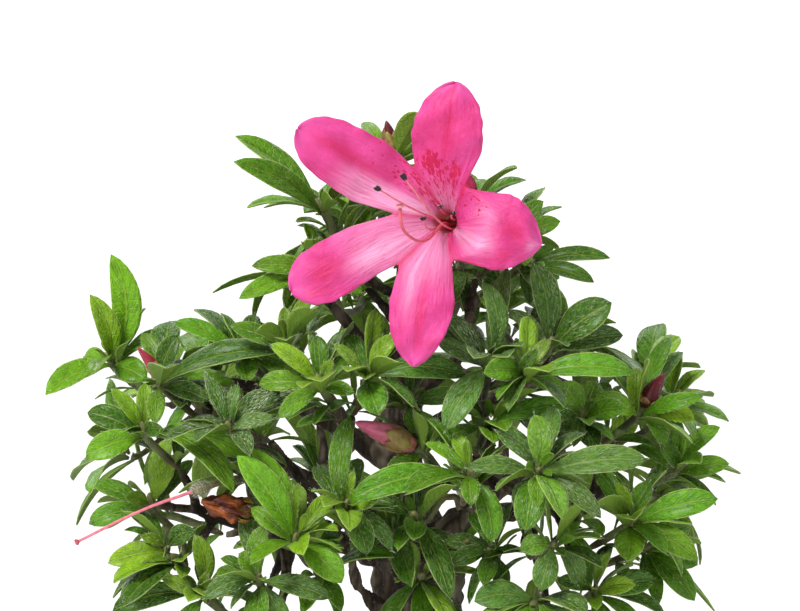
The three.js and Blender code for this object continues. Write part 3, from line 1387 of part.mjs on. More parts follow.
// A twig from the best hold on a limb to the foot of each shoot, ending in line with it.
for (const shoot of shoots) {
  const axis = shoot.stemCurve.getTangent(0);
  const end = shoot.root.clone().addScaledVector(axis, -TWIG.gap);
  const cost = ({ point, way }) => {
    const run = end.clone().sub(point);
    const distance = run.length();
    run.normalize();
    const downhill = Math.max(0, point.z - end.z);
    return distance * (1.5 - 0.5 * run.dot(axis)) + downhill * 0.5 - 3 * way.dot(run);
  };
  const order = [...holds].sort((one, other) => cost(one) - cost(other)).slice(0, 24);
  for (const { point } of order) {
    const reach = end.distanceTo(point);
    const curve = new THREE.CubicBezierCurve3(
      point,
      mix(point, end, 0.35),
      end.clone().addScaledVector(axis, -0.4 * reach),
      end,
    );
    const bend = curve.getTangent(0).angleTo(curve.getTangent(1));
    const steps = Math.max(reach < 16 ? 1 : 2, Math.ceil(bend / 0.75));
    const radius = (grow) => (t) => 1.55 - 0.3 * t + grow;
    if (!space.blocked(tube(curve, radius(0.35), 4, steps).triangles())) {
      joinTube(tube(curve, radius(0), 4, steps));
      break;
    }
  }
}
space.add(wood);

for (const shoot of shoots) {
  leafOut(shoot.skin, shoot);
  if (shoot.fork) leafOut(shoot.skin, shoot.fork);
  pieces.set("spray_" + shoot.name, { geometry: shoot.skin.geometry(), look: LOOKS[toneOf(shoot.name)] });
}

const pot = potSolid();
const soil = soilSolid(solid(trunkSkin(0.35).geometry()));
pieces.set("pot", { geometry: geometryOf(pot), look: LOOKS.clay });
pieces.set("soil", { geometry: geometryOf(soil), look: LOOKS.soil });
pieces.set("tree", { geometry: geometryOf(tree), look: LOOKS.bark });

// ---------------------------------------------------------------- the part
const part = new THREE.Group();
part.name = "satsuki_azalea_bonsai";
const whole = new THREE.Box3();
for (const [name, { geometry, look }] of pieces) {
  const mesh = new THREE.Mesh(geometry, new THREE.MeshStandardMaterial({ ...look, metalness: 0 }));
  mesh.name = name;
  geometry.computeBoundingBox();
  whole.union(geometry.boundingBox);
  part.add(mesh);
}
// the origin is under the middle of the whole part
const middle = whole.getCenter(vec(0, 0, 0));
part.position.set(-middle.x, -middle.y, 0);

export default part;
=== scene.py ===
import math
from collections import namedtuple
from contextlib import contextmanager
from itertools import permutations

import bmesh
import bpy
import numpy as np
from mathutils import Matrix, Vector
from mathutils.bvhtree import BVHTree
from numpy.linalg import norm


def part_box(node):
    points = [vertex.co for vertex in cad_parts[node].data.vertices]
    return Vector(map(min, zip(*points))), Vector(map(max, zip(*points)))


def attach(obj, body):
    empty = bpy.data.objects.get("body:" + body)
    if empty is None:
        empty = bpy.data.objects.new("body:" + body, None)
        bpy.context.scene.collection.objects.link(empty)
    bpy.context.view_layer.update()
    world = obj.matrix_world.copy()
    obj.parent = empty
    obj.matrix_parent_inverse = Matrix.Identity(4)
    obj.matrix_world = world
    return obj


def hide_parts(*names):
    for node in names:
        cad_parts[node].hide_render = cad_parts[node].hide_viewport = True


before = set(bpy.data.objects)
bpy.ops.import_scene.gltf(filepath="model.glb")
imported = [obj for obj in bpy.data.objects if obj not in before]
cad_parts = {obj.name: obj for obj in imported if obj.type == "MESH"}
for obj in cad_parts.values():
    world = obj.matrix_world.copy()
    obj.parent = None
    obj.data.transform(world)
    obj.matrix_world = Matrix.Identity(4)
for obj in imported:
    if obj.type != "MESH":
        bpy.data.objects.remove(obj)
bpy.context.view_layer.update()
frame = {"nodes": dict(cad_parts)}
bpy.ops.object.select_all(action="DESELECT")

MM = 0.001
WELD = 0.002 * MM  # corners of a solid's loose triangles are this close
pot_low, pot_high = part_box("pot")
MIDDLE = [(pot_low[i] + pot_high[i]) / 2 for i in (0, 1)]  # the pot and the trunk's foot stand round this
SIGHT = math.radians(8)  # the front is set out as seen from this much above
BLOOM_DEPTH = -50  # y of the bloom's mouth, mm
GOLDEN_TURN = 2.39996  # from one leaf of a whorl to the next
# where each piece's random numbers start; the shoots take 0 and up, the buds and sprigs one each
SEEDS = {"calyx": 51, "buds": 60, "wilted": 71, "wilted style": 72, "moss": 91, "sprigs": 299}


def vec(*numbers):
    return np.array(numbers, float)


def here(x, y, z):
    """A place given in millimetres from the middle of the pot's foot."""
    return vec(x * MM + MIDDLE[0], y * MM + MIDDLE[1], z * MM)


def seen(x, y, height):
    """The same, with the height as it looks from the front against the bloom's mouth."""
    return here(x, y, height - (y - BLOOM_DEPTH) * math.tan(SIGHT))


def unit(v):
    return v / norm(v, axis=-1, keepdims=True)


def square_to(v, axis):
    """What is left of v across an axis, with length 1."""
    return unit(v - (v * axis).sum(-1, keepdims=True) * axis)


def out_from(axis, turn, start=(0.3, 0.2, 1.0)):
    """A way square to an axis, turned round it."""
    side = square_to(vec(*start), axis)
    return side * math.cos(turn) + np.cross(axis, side) * math.sin(turn)


def bent(base, bend, tip, shares):
    """The points at some shares of a bent line, and its way there."""
    t = shares[:, None]
    line = (1 - t) ** 2 * base + 2 * t * (1 - t) * bend + t**2 * tip
    return line, unit((1 - t) * (bend - base) + t * (tip - bend))


def smooth(x):
    x = np.clip(x, 0, 1)
    return x * x * (3 - 2 * x)


def hump(x, middle, width):
    return np.exp(-(((x - middle) / width) ** 2))


def shaded(low, high, share):
    """Tones that run from one to another by their shares."""
    low, high = np.array(low), np.array(high)
    return low + (high - low) * np.clip(share, 0, 1)[:, None]


# ---------------- colours, in linear light
LIME = (0.205, 0.40, 0.014)
BRIGHT = (0.122, 0.310, 0.008)
MID = (0.078, 0.235, 0.005)
DEEP = (0.037, 0.128, 0.005)
GREY_GREEN = (0.072, 0.180, 0.026)
SILVER = (0.55, 0.63, 0.41)
NEW_WOOD = (0.21, 0.22, 0.055)
GREEN_WOOD = (0.095, 0.125, 0.03)
BROWN_WOOD = (0.11, 0.065, 0.035)
PINK_STYLE = vec(0.66, 0.105, 0.155)
PALE_STYLE = vec(0.80, 0.27, 0.33)
ANTHER = (0.018, 0.008, 0.014)
EDGE_HAIR = (0.6, 0.66, 0.45)
FACE_HAIR = (0.66, 0.70, 0.58)
TAN_HAIR = (0.42, 0.34, 0.20)

# Each shoot's leaf colours: spreading old leaves, middle ones, upright young ones; then how silvery.
SHOOT_TONES = {
    "upper_left": (MID, BRIGHT, BRIGHT, 0.2),
    "behind_top": (MID, BRIGHT, BRIGHT, 0.1),
    "right_of_bloom": (MID, BRIGHT, MID, 0.1),
    "right_sickles": (MID, DEEP, MID, 0.2),
    "right_broad": (DEEP, DEEP, GREY_GREEN, 0.8),
    "right_of_tip": (MID, GREY_GREEN, LIME, 0.3),
    "hanging_pair": (GREY_GREEN, DEEP, GREY_GREEN, 0.9),
    "under_tip": (DEEP, MID, LIME, 0.5),
    "left_fan": (BRIGHT, MID, LIME, 0.4),
    "left_high_tip": (MID, DEEP, MID, 0.2),
    "long_arch": (BRIGHT, DEEP, GREY_GREEN, 0.4),
    "far_left": (BRIGHT, BRIGHT, LIME, 0.1),
    "lime_left": (BRIGHT, DEEP, LIME, 0.2),
    "hairy_left": (DEEP, DEEP, GREY_GREEN, 1.0),
    "left_stem": (MID, DEEP, LIME, 0.4),
    "big_hanging": (BRIGHT, BRIGHT, LIME, 0.15),
    "centre_low": (DEEP, MID, LIME, 0.5),
    "long_leaf": (MID, BRIGHT, LIME, 0.25),
    "centre_bud": (MID, MID, BRIGHT, 0.2),
    "middle_right": (MID, DEEP, BRIGHT, 0.3),
    "right_star": (GREY_GREEN, MID, BRIGHT, 0.6),
    "far_right_top": (BRIGHT, MID, LIME, 0.1),
    "right_end": (MID, MID, BRIGHT, 0.2),
    "heart_leaf": (BRIGHT, MID, LIME, 0.2),
    "low_right": (MID, DEEP, LIME, 0.3),
    "low_middle": (GREY_GREEN, DEEP, BRIGHT, 0.6),
    "mid_dark": (DEEP, DEEP, MID, 0.4),
    "over_trunk": (DEEP, DEEP, MID, 0.4),
    "low_left": (GREY_GREEN, MID, BRIGHT, 0.6),
    "bottom_left": (DEEP, MID, LIME, 0.5),
    "bloom_bearer": (MID, DEEP, BRIGHT, 0.2),
    "right_inner": (DEEP, MID, BRIGHT, 0.4),
    "low_corner": (MID, MID, BRIGHT, 0.3),
}
PLAIN_TONES = (MID, BRIGHT, LIME, 0.25)  # the shoots of the sides and back


# ---------------- shader arithmetic
class Tint:
    """A value in a material's nodes. Arithmetic on it adds Math nodes, and node() adds any other kind."""

    def __init__(self, tree, socket=None):
        self.tree, self.socket = tree, socket

    def node(self, kind, settings=None, inputs=None, output=0):
        """A new node: first its settings, then the values or links of its sockets."""
        made = self.tree.nodes.new("ShaderNode" + kind)
        for name, value in (settings or {}).items():
            if name == "stops":
                self.set_stops(made.color_ramp.elements, value)
            else:
                setattr(made, name, value)
        for key, value in (inputs or {}).items():
            if isinstance(value, Tint):
                self.tree.links.new(value.socket, made.inputs[key])
            elif made.inputs[key].type == "RGBA":
                made.inputs[key].default_value = (*value, 1.0)
            else:
                made.inputs[key].default_value = value
        return Tint(self.tree, made.outputs[output])

    def set_stops(self, ramp, stops):
        while len(ramp) < len(stops):
            ramp.new(0.5)
        for stop, (place, colour) in zip(ramp, stops):
            stop.position = place
            stop.color = (*colour, 1.0)

    def maths(self, operation, *values, **settings):
        return self.node("Math", {"operation": operation} | settings, dict(enumerate(values)))

    def __add__(self, other):
        return self.maths("ADD", self, other)

    def __radd__(self, other):
        return self.maths("ADD", other, self)

    def __sub__(self, other):
        return self.maths("SUBTRACT", self, other)

    def __rsub__(self, other):
        return self.maths("SUBTRACT", other, self)

    def __mul__(self, other):
        return self.maths("MULTIPLY", self, other)

    def __rmul__(self, other):
        return self.maths("MULTIPLY", other, self)

    def __abs__(self):
        return self.maths("ABSOLUTE", self)

    def sine(self):
        return self.maths("SINE", self)

    def clamp(self):
        return self.maths("ADD", self, 0.0, use_clamp=True)

    def rise(self, low, high):
        """0 up to low and 1 from high on, softly; where low is the larger, 1 up to high and 0 from low."""
        made = self.node("MapRange", {"interpolation_type": "SMOOTHSTEP"},
                         {"Value": self, "From Min": min(low, high), "From Max": max(low, high)})
        return made if low < high else 1.0 - made

    def blend(self, other, share, mode="MIX"):
        """This colour, with another over it by a share."""
        return self.node("Mix", {"data_type": "RGBA", "blend_type": mode}, {0: share, 6: self, 7: other}, 2)

    def layered(self, *layers):
        """This colour with others over it in turn, each by its share."""
        colour = self
        for other, share in layers:
            colour = colour.blend(other, share)
        return colour

    def times(self, *factors):
        return self.blend(factors, 1.0, "MULTIPLY")

    def ramp(self, *stops):
        return self.node("ValToRGB", {"stops": stops}, {0: self})

    def noise(self, scale, detail=2.0):
        return self.node("TexNoise", None, {"Vector": self, "Scale": scale, "Detail": detail})

    def cells(self, scale, output="Distance"):
        return self.node("TexVoronoi", None, {"Vector": self, "Scale": scale}, output)

    def cell_edges(self, scale):
        return self.node("TexVoronoi", {"feature": "DISTANCE_TO_EDGE"}, {"Vector": self, "Scale": scale})

    def stretch(self, *scale):
        return self.node("VectorMath", {"operation": "MULTIPLY"}, {0: self, 1: scale})

    def part(self, axis):
        return self.node("SeparateXYZ", None, {0: self}, axis)

    def read(self, attribute, output="Fac"):
        return self.node("Attribute", {"attribute_name": attribute}, output=output)

    def bump(self, strength, distance):
        """This height as a normal."""
        return self.node("Bump", None, {"Height": self, "Strength": strength, "Distance": distance})


def socket_of(made, name):
    return made.node_tree.nodes["Principled BSDF"].inputs[name.replace("_", " ")]


def finish_of(name, **fixed):
    """A new material with what is the same all over it, and its place in the object."""
    made = bpy.data.materials.new(name)
    made.use_nodes = True
    for socket, value in fixed.items():
        socket_of(made, socket).default_value = value
    return made, Tint(made.node_tree).node("TexCoord", output="Object")


def feed(made, **values):
    """Links what changes over the surface to the material's shader."""
    for socket, value in values.items():
        made.node_tree.links.new(value.socket, socket_of(made, socket))
    return made


# ---------------- materials
def leaf_finish():
    """Leathery azalea leaf: sunk midrib and side veins, silvery hairs, a paler dull underside, and painted
    shade and highlight within the blade.
    """
    made, place = finish_of("azalea leaf", Specular_IOR_Level=0.2, Coat_Weight=0.12, Coat_Roughness=0.2)
    uv = place.node("UVMap", {"uv_map": "leaf"})
    tone, down, under = place.read("tone", "Color"), place.read("down"), place.read("under")
    across, along = abs(uv.part(0) - 0.5) * 2.0, uv.part(1)
    mottle, cloud, grain = place.noise(420.0, 4.0), place.noise(90.0), place.noise(2100.0)
    midrib = across.rise(0.11, 0.02)
    wave = (along * 48.0 - across * 15.0 + place.noise(240.0) * 5.0).sine()
    net = place.cell_edges(560.0).rise(0.11, 0.0)
    vein = wave.rise(0.72, 1.0) * across.rise(1.0, 0.8) * along.rise(0.98, 0.85)
    # the quilting between the side veins: raised in the relief, and lighter in the colour, a painted highlight
    # on that relief
    quilt_and_highlight = wave.rise(-1.0, 0.6) * across.rise(0.02, 0.3)
    strands = (uv.stretch(24.0, 9.0, 1.0).noise(1.2, 3.0) + down * 0.07).rise(0.57, 0.67)
    patchy = place.noise(130.0).rise(0.35, 0.6) * 0.75 + 0.25
    silver = strands * patchy * down * 0.8

    pale = tone.blend((0.36, 0.50, 0.055), 0.42)
    # the blade is a darker copy of its tone, lightened again by random mottle and over the quilting: partly the
    # leaf's own mottling, partly painted shade and highlight within the blade
    dark = tone.times(0.54, 0.57, 0.42)
    green = dark.layered(
        (tone.times(1.25, 1.2, 1.0), mottle.rise(0.3, 0.7) * 0.6 + quilt_and_highlight * 0.4),
        (dark, cloud.rise(0.46, 0.7) * 0.6),
        (pale, vein * 0.16 + net * 0.36),
        (pale, midrib * 0.75),
        (pale, along.rise(0.16, 0.0) * 0.6),
        ((0.50, 0.60, 0.19), across.rise(0.92, 0.985) * 0.6),
        (SILVER, silver),
    )
    dull = pale.blend((0.15, 0.25, 0.04), cloud * 0.5 + 0.4)
    relief = (mottle * 0.3 + grain * 0.35 + strands * down * 0.6 + quilt_and_highlight * 0.35
              - vein * 0.5 - net * 0.4 - midrib)
    return feed(
        made,
        Base_Color=green.blend(dull, under),
        Roughness=(mottle * 0.2 + 0.2 + silver * 0.5 + under * 0.35).clamp(),
        Normal=relief.bump(0.75, 0.0004),
    )


def twig_finish():
    """Young azalea wood: green near the leaves, brown and flaking further down."""
    made, place = finish_of("green twig", Sheen_Weight=0.1)
    tone = place.read("tone", "Color")
    streak, fleck = place.stretch(1.0, 1.0, 0.35).noise(420.0, 3.0), place.noise(900.0, 3.0)
    return feed(
        made,
        Base_Color=tone.times(0.42, 0.40, 0.38).layered(
            (tone, streak.rise(0.35, 0.62)), ((0.30, 0.20, 0.11), fleck.rise(0.58, 0.74) * 0.5)),
        Roughness=streak * 0.3 + 0.5,
        Normal=(streak * 0.8 + fleck * 0.5).bump(0.7, 0.0004),
    )


def hair_finish():
    made, place = finish_of("plant hair", Roughness=0.45)
    tone = place.read("tone", "Color")
    return feed(made, Base_Color=tone.blend((0.85, 0.86, 0.78), place.noise(300.0) * 0.4))


def bark_finish():
    """Grey-brown azalea bark: long shallow cracks, flakes and a little grey-green lichen, its tones darkened
    partly by painted shade from the leaves above.
    """
    made, place = finish_of("azalea bark", Specular_IOR_Level=0.25)
    grain = place.stretch(1.0, 1.0, 0.28)
    crack, plate = grain.noise(260.0, 5.0), grain.cell_edges(190.0)
    tint, fleck = place.noise(60.0, 4.0), place.noise(900.0, 3.0)
    # near black to grey-brown: the bark's own tones, darkened overall as painted shade from the canopy
    colour = crack.ramp((0.3, (0.010, 0.007, 0.005)), (0.46, (0.034, 0.025, 0.018)),
                        (0.58, (0.095, 0.073, 0.052)), (0.72, (0.25, 0.21, 0.16)))
    return feed(
        made,
        Base_Color=colour.layered(
            ((0.022, 0.014, 0.009), plate.rise(0.1, 0.0) * 0.75),
            ((0.10, 0.12, 0.065), tint.rise(0.56, 0.72) * 0.45),
            ((0.27, 0.22, 0.15), fleck.rise(0.6, 0.72) * 0.35)),
        Roughness=fleck * 0.3 + 0.68,
        Normal=(crack * 1.2 + plate.rise(0.0, 0.12) * 0.8 + fleck * 0.3).bump(0.9, 0.0006),
    )


PETAL_MARKS = ("pale", "spots", "deep", "throat")


def petal_finish():
    """Hot pink petal: paler towards the throat, streaked along its veins, with crimson specks, and a painted
    glow deep in the tube.
    """
    made, place = finish_of(
        "azalea petal", Specular_IOR_Level=0.3, Emission_Strength=1.0, Subsurface_Weight=0.1,
        Subsurface_Radius=(0.004, 0.0016, 0.0022), Subsurface_Scale=0.3)
    uv = place.node("UVMap", {"uv_map": "petal"})
    pale, spots, deep, throat = (place.read(name) for name in PETAL_MARKS)
    streak = uv.stretch(26.0, 1.6, 1.0).noise(1.0, 4.0)
    fine = uv.stretch(48.0, 3.0, 1.0).noise(1.0, 4.0)
    pucker = uv.stretch(13.0, 7.0, 1.0).noise(1.0, 3.0)
    grain, cloud = place.noise(1500.0), place.noise(170.0, 3.0)
    speck = uv.stretch(17.0, 17.0, 1.0).cells(1.0)
    small = uv.stretch(33.0, 27.0, 1.0).cells(1.0)
    net = uv.stretch(21.0, 19.0, 1.0).cell_edges(1.0)
    tip, body = uv.part(1).rise(1.7, 2.0), uv.part(1).rise(1.96, 1.7)
    dots = (spots * 0.44 - speck).rise(0.0, 0.05)
    dust = (spots * 0.38 - small).rise(0.0, 0.05)
    patch = spots.rise(0.85, 1.1) * net.rise(0.05, 0.15)
    pink = cloud.ramp((0.3, (0.51, 0.024, 0.160)), (0.7, (0.64, 0.058, 0.275)))
    return feed(
        made,
        Base_Color=pink.layered(
            ((0.66, 0.10, 0.38), tip * 0.45 + streak.rise(0.5, 0.8) * 0.35),
            ((0.80, 0.40, 0.62), (pale * (streak * 1.3 + 0.2)).clamp()),
            ((0.50, 0.009, 0.085), deep * (streak * 0.9 + 0.4)),
            ((0.51, 0.022, 0.14), fine.rise(0.5, 0.6) * 0.35 * body * pucker.rise(0.3, 0.6)),
            ((0.74, 0.16, 0.42), grain.rise(0.56, 0.8) * 0.12),
            ((0.47, 0.004, 0.062), (dots * 0.9 + dust * 0.7 + patch * 0.8).clamp()),
            ((0.60, 0.17, 0.23), throat * 0.8)),
        # painted glow: the deep tube gives off light of its own, standing in for light through its thin wall
        Emission_Color=throat.ramp((0.0, (0.0, 0.0, 0.0)), (1.0, (0.11, 0.022, 0.026))),
        Roughness=grain * 0.15 + 0.45,
        Normal=((pucker * 1.3 + streak * 0.45 + fine * 0.3) * body + grain * 0.25).bump(0.7, 0.0006),
    )


def tissue_finish():
    """Soft, slightly moist plant tissue: styles, filaments, buds and wilted petals."""
    made, place = finish_of("plant tissue", Specular_IOR_Level=0.4)
    tone = place.read("tone", "Color")
    fibre = place.stretch(1.0, 1.0, 0.5).noise(900.0, 3.0)
    return feed(
        made,
        Base_Color=tone.times(0.78, 0.7, 0.7).blend(tone, fibre.rise(0.35, 0.6)),
        Roughness=fibre * 0.3 + 0.3,
        Normal=fibre.bump(0.4, 0.0003),
    )


def clay_finish():
    """Unglazed brown clay, smoothed by hand: fine turning lines, pores and pale mineral marks low down."""
    made, place = finish_of("brown clay", Specular_IOR_Level=0.35)
    lines = place.stretch(0.05, 0.05, 1.0).noise(1500.0)
    cloud, pores, height = place.noise(26.0, 4.0), place.noise(2200.0), place.part(2)
    grit = place.cells(900.0).rise(0.16, 0.06)
    salt = height.rise(0.017, 0.006) * place.noise(150.0, 5.0).rise(0.45, 0.66)
    damp = height.rise(0.041, 0.049) * 0.35
    brown = cloud.ramp((0.3, (0.098, 0.040, 0.022)), (0.55, (0.150, 0.066, 0.036)),
                       (0.75, (0.185, 0.088, 0.052)))
    return feed(
        made,
        Base_Color=brown.layered(
            ((0.30, 0.20, 0.14), grit * 0.45),
            ((0.055, 0.022, 0.014), pores.rise(0.36, 0.26) * 0.6),
            ((0.40, 0.34, 0.28), salt * 0.5),
            ((0.062, 0.030, 0.020), damp)),
        Roughness=cloud * 0.25 + 0.5 - damp * 0.4,
        Normal=(lines * 0.6 + pores * 0.25 - grit * 0.2).bump(0.4, 0.0004),
    )


def soil_finish():
    """Dark damp akadama soil, its granules brown to ochre with painted shade in the gaps between them, and moss
    growing over parts of it.
    """
    made, place = finish_of("soil and moss", Specular_IOR_Level=0.2)
    clod, edge = place.cells(520.0, "Color"), place.cell_edges(520.0)
    fine, blade = place.noise(1600.0, 3.0), place.noise(3000.0)
    earth = clod.part(0).ramp((0.1, (0.045, 0.024, 0.013)), (0.5, (0.095, 0.052, 0.026)),
                              (0.9, (0.20, 0.125, 0.062)))
    moss = blade.ramp((0.3, (0.022, 0.060, 0.008)), (0.5, (0.060, 0.150, 0.016)),
                      (0.72, (0.20, 0.34, 0.04)))
    cover = (place.read("mossy") + fine * 0.4 - 0.2).rise(0.35, 0.55)
    return feed(
        made,
        # near black in the gaps between granules: painted shade
        Base_Color=earth.layered(((0.018, 0.011, 0.007), edge.rise(0.14, 0.0) * 0.85), (moss, cover)),
        Roughness=fine * 0.2 + 0.75,
        Normal=(edge.rise(0.0, 0.3) * (1.0 - cover) + blade * cover * 0.7 + fine * 0.2).bump(0.9, 0.0006),
    )


LEAF, TWIG, HAIR, TISSUE = leaf_finish(), twig_finish(), hair_finish(), tissue_finish()


# ---------------- tools for models
def link(name, data):
    """A new object, in the scene."""
    piece = bpy.data.objects.new(name, data)
    bpy.context.scene.collection.objects.link(piece)
    return piece


def choose(*pieces):
    """Selects some pieces and nothing else; the first is the active one."""
    bpy.ops.object.select_all(action="DESELECT")
    for piece in pieces:
        piece.select_set(True)
    bpy.context.view_layer.objects.active = pieces[0]


@contextmanager
def editing(piece):
    """The piece alone in edit mode, with all of it selected."""
    choose(piece)
    bpy.ops.object.mode_set(mode="EDIT")
    bpy.ops.mesh.select_all(action="SELECT")
    yield
    bpy.ops.object.mode_set(mode="OBJECT")


def tidy_mesh(piece, gap):
    """Joins corners closer than a gap and turns all faces outwards."""
    with editing(piece):
        bpy.ops.mesh.remove_doubles(threshold=gap)
        bpy.ops.mesh.normals_make_consistent(inside=False)


def apply(piece, kind, **settings):
    """Adds a modifier and applies it."""
    bpy.context.view_layer.objects.active = piece
    modifier = piece.modifiers.new(kind.title(), kind)
    for name, value in settings.items():
        setattr(modifier, name, value)
    bpy.ops.object.modifier_apply(modifier=modifier.name)


def points_of(piece):
    return np.array([v.co for v in piece.data.vertices])


def normals_of(piece):
    return np.array([v.normal for v in piece.data.vertices])


def take(piece):
    """A finished model as points, triangles and quads; the model itself is removed."""
    points = points_of(piece)
    faces = [np.array([f.vertices for f in piece.data.polygons if len(f.vertices) == n]) for n in (3, 4)]
    bpy.data.objects.remove(piece)
    return points, *faces


def mark(mesh, name, values):
    """Keeps a number or a colour for every point of a mesh."""
    kind, field = ("FLOAT", "value") if values.ndim == 1 else ("FLOAT_COLOR", "color")
    mesh.attributes.new(name, kind, "POINT").data.foreach_set(field, values.ravel())


def settle(piece, slot, *nodes):
    """Makes a piece ride on the plant and stand for some of its solids."""
    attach(piece, "root")
    if nodes:
        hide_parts(*nodes)


def finish_piece(piece, name, finish, slot, *nodes):
    """Names and dresses a model that was made in place, and puts it on the plant."""
    piece.name = piece.data.name = name
    piece.data.materials.clear()
    piece.data.materials.append(finish)
    piece.data.shade_smooth()
    settle(piece, slot, *nodes)


class Heap:
    """Points and faces of many copies, with their tones and leaf map, that become one piece."""

    def __init__(self):
        self.points, self.tones, self.downs, self.unders, self.groups = [], [], [], [], []
        self.count = 0

    def add(self, points, groups, finish, tone, down=0.0, under=0.0, leaf_map=None):
        """Adds points and their faces, in groups that have one number of corners each."""
        size = len(points)
        self.points.append(points)
        self.tones.append(np.column_stack([np.broadcast_to(tone, (size, 3)), np.ones(size)]))
        self.downs.append(np.broadcast_to(down, size))
        self.unders.append(np.broadcast_to(under, size))
        for faces in groups:
            if len(faces):
                uv = np.zeros((faces.size, 2)) if leaf_map is None else leaf_map
                self.groups.append((faces + self.count, np.full(len(faces), finish), uv))
        self.count += size

    def pour(self, piece, finish, tone):
        """Adds a model and removes it."""
        points, *groups = take(piece)
        self.add(points, groups, finish, tone)

    def place(self, name, finishes, slot, *nodes):
        """Puts it all into the scene as one piece, its faces' finishes by their numbers."""
        mesh = bpy.data.meshes.new(name)
        groups, marks, maps = zip(*self.groups)
        corners = np.concatenate([faces.ravel() for faces in groups])
        sizes = np.concatenate([np.full(len(faces), faces.shape[1]) for faces in groups])
        mesh.vertices.add(self.count)
        mesh.vertices.foreach_set("co", np.concatenate(self.points).ravel())
        mesh.loops.add(len(corners))
        mesh.loops.foreach_set("vertex_index", corners)
        mesh.polygons.add(len(sizes))
        mesh.polygons.foreach_set("loop_start", np.cumsum(sizes) - sizes)
        mesh.polygons.foreach_set("material_index", np.concatenate(marks))
        mesh.update(calc_edges=True)
        mesh.uv_layers.new(name="leaf").data.foreach_set("uv", np.concatenate(maps).ravel())
        for field, values in (("tone", self.tones), ("down", self.downs), ("under", self.unders)):
            mark(mesh, field, np.concatenate(values))
        for finish in finishes:
            mesh.materials.append(finish)
        mesh.shade_smooth()
        settle(link(name, mesh), slot, *nodes)


# ---------------- the leaf blade, modelled once
Leaf = namedtuple("Leaf", "base bend tip up half")  # its rib's three points, upward way and half width
LEAF_OUTLINE = vec(
    # share of the length, share of the half width
    (0.0, 0.15), (0.05, 0.17), (0.12, 0.32), (0.24, 0.64), (0.38, 0.9), (0.52, 1.0), (0.66, 0.97),
    (0.8, 0.79), (0.9, 0.53), (0.96, 0.29), (0.99, 0.11), (1.0, 0.02),
)


def leaf_width(share):
    return np.interp(share, *LEAF_OUTLINE.T)


def model_blade(columns, rows):
    """A blade with two skins: x across with its outline, y along from 0 to 1, z from top 0 to bottom -1."""
    bpy.ops.mesh.primitive_grid_add(x_subdivisions=columns, y_subdivisions=rows, size=2)
    blade = bpy.context.object
    with editing(blade):
        bpy.ops.transform.translate(value=(0, 1, 0))
        bpy.ops.transform.resize(value=(1, 0.5, 1), center_override=(0, 0, 0))
        work = bmesh.from_edit_mesh(blade.data)
        for share in sorted({round(v.co.y, 4) for v in work.verts}):
            for vert in work.verts:
                vert.select_set(abs(vert.co.y - share) < 1e-3)
            work.select_flush_mode()
            bpy.ops.transform.resize(value=(leaf_width(share), 1, 1), center_override=(0, 0, 0))
    apply(blade, "SOLIDIFY", thickness=1.0, offset=-1.0)
    uv = np.empty(len(blade.data.loops) * 2)
    blade.data.uv_layers[0].data.foreach_get("uv", uv)
    points, _, faces = take(blade)
    return points, faces, uv.reshape(-1, 2)


FINE_BLADE, MIDDLE_BLADE, SMALL_BLADE = model_blade(8, 14), model_blade(6, 10), model_blade(4, 8)


def lay_blade(shape, leaf, fold, curl, wave, phase, round_tip):
    """The points of a blade laid along a leaf's rib, folded up at the rib and with a gently wavy edge."""
    x, t, z = shape.T
    rib, run = bent(leaf.base, leaf.bend, leaf.tip, t)
    up = square_to(leaf.up + 0 * run, run)
    u = x / leaf_width(t)
    wide = leaf_width(t) * (1 + round_tip * (t - 0.45))
    lift = fold * abs(u) - curl * u**2 + wave * u**2 * np.sin(t * 17 + phase + 1.6 * np.sign(u))
    groove = -0.1 * np.exp(-((u / 0.16) ** 2))
    thick = np.clip(0.13 * leaf.half, 0.22 * MM, 0.42 * MM)
    rise = (lift * wide + groove * np.minimum(1, wide * 1.4)) * leaf.half
    rise = rise + z * thick * (0.55 + 0.45 * (1 - abs(u)))
    return rib + np.cross(up, run) * (u * wide * leaf.half)[:, None] + up * rise[:, None]


def add_leaf(heap, blade, leaf, tone, down, random, finish=0, hollow=False, hairs=0.0):
    """Lays a leaf into a heap; a hollow one wraps round what it covers."""
    shape, faces, uv = blade
    chance = (random.uniform(0.34, 0.5), random.uniform(0.14, 0.26), random.uniform(0.0, 0.06),
              random.uniform(0, 6.28), random.uniform(-0.12, 0.36))
    if hollow:
        chance = (-0.12, 0.34, 0.03, *chance[3:])
    points = lay_blade(shape, leaf, *chance)
    under = (shape[:, 2] < -0.5).astype(float)
    heap.add(points, [faces], finish, tone, down, under, uv)
    if hairs:
        fringe(heap, shape, leaf, points, down, random, hairs)


# ---------------- hairs
def model_needle():
    """A straight three-sided hair, z along from 0 to 1."""
    bpy.ops.mesh.primitive_cone_add(vertices=3, radius1=1, radius2=0, depth=1, location=(0, 0, 0.5))
    bpy.ops.object.transform_apply(location=True)
    return take(bpy.context.object)[:2]


NEEDLE = model_needle()


def add_hairs(heap, roots, ways, lengths, thick, tone, finish=2):
    """Needles from their roots along their ways; one row of each array for a hair."""
    shape, faces = NEEDLE
    ways = unit(ways)
    side = square_to(np.broadcast_to([0.31, 0.17, 1.0], ways.shape) + 0.01 * ways, ways)
    other = np.cross(ways, side)
    points = (roots[:, None]
              + side[:, None] * (shape[:, 0] * thick)[None, :, None]
              + other[:, None] * (shape[:, 1] * thick)[None, :, None]
              + ways[:, None] * shape[:, 2][None, :, None] * lengths[:, None, None])
    steps = np.arange(len(roots))[:, None, None] * len(shape)
    heap.add(points.reshape(-1, 3), [(faces[None] + steps).reshape(-1, 3)], finish, tone)


def bristle(heap, piece, count, length, tone, random, lean=0.0):
    """Hairs standing on a model, leaning one way."""
    pick = random.choice(len(piece.data.vertices), count)
    ways = normals_of(piece)[pick] + random.normal(0, 0.25, (count, 3)) + lean
    add_hairs(heap, points_of(piece)[pick], ways, random.uniform(0.5, 1.0, count) * length * MM, 0.03 * MM,
              tone, 1)


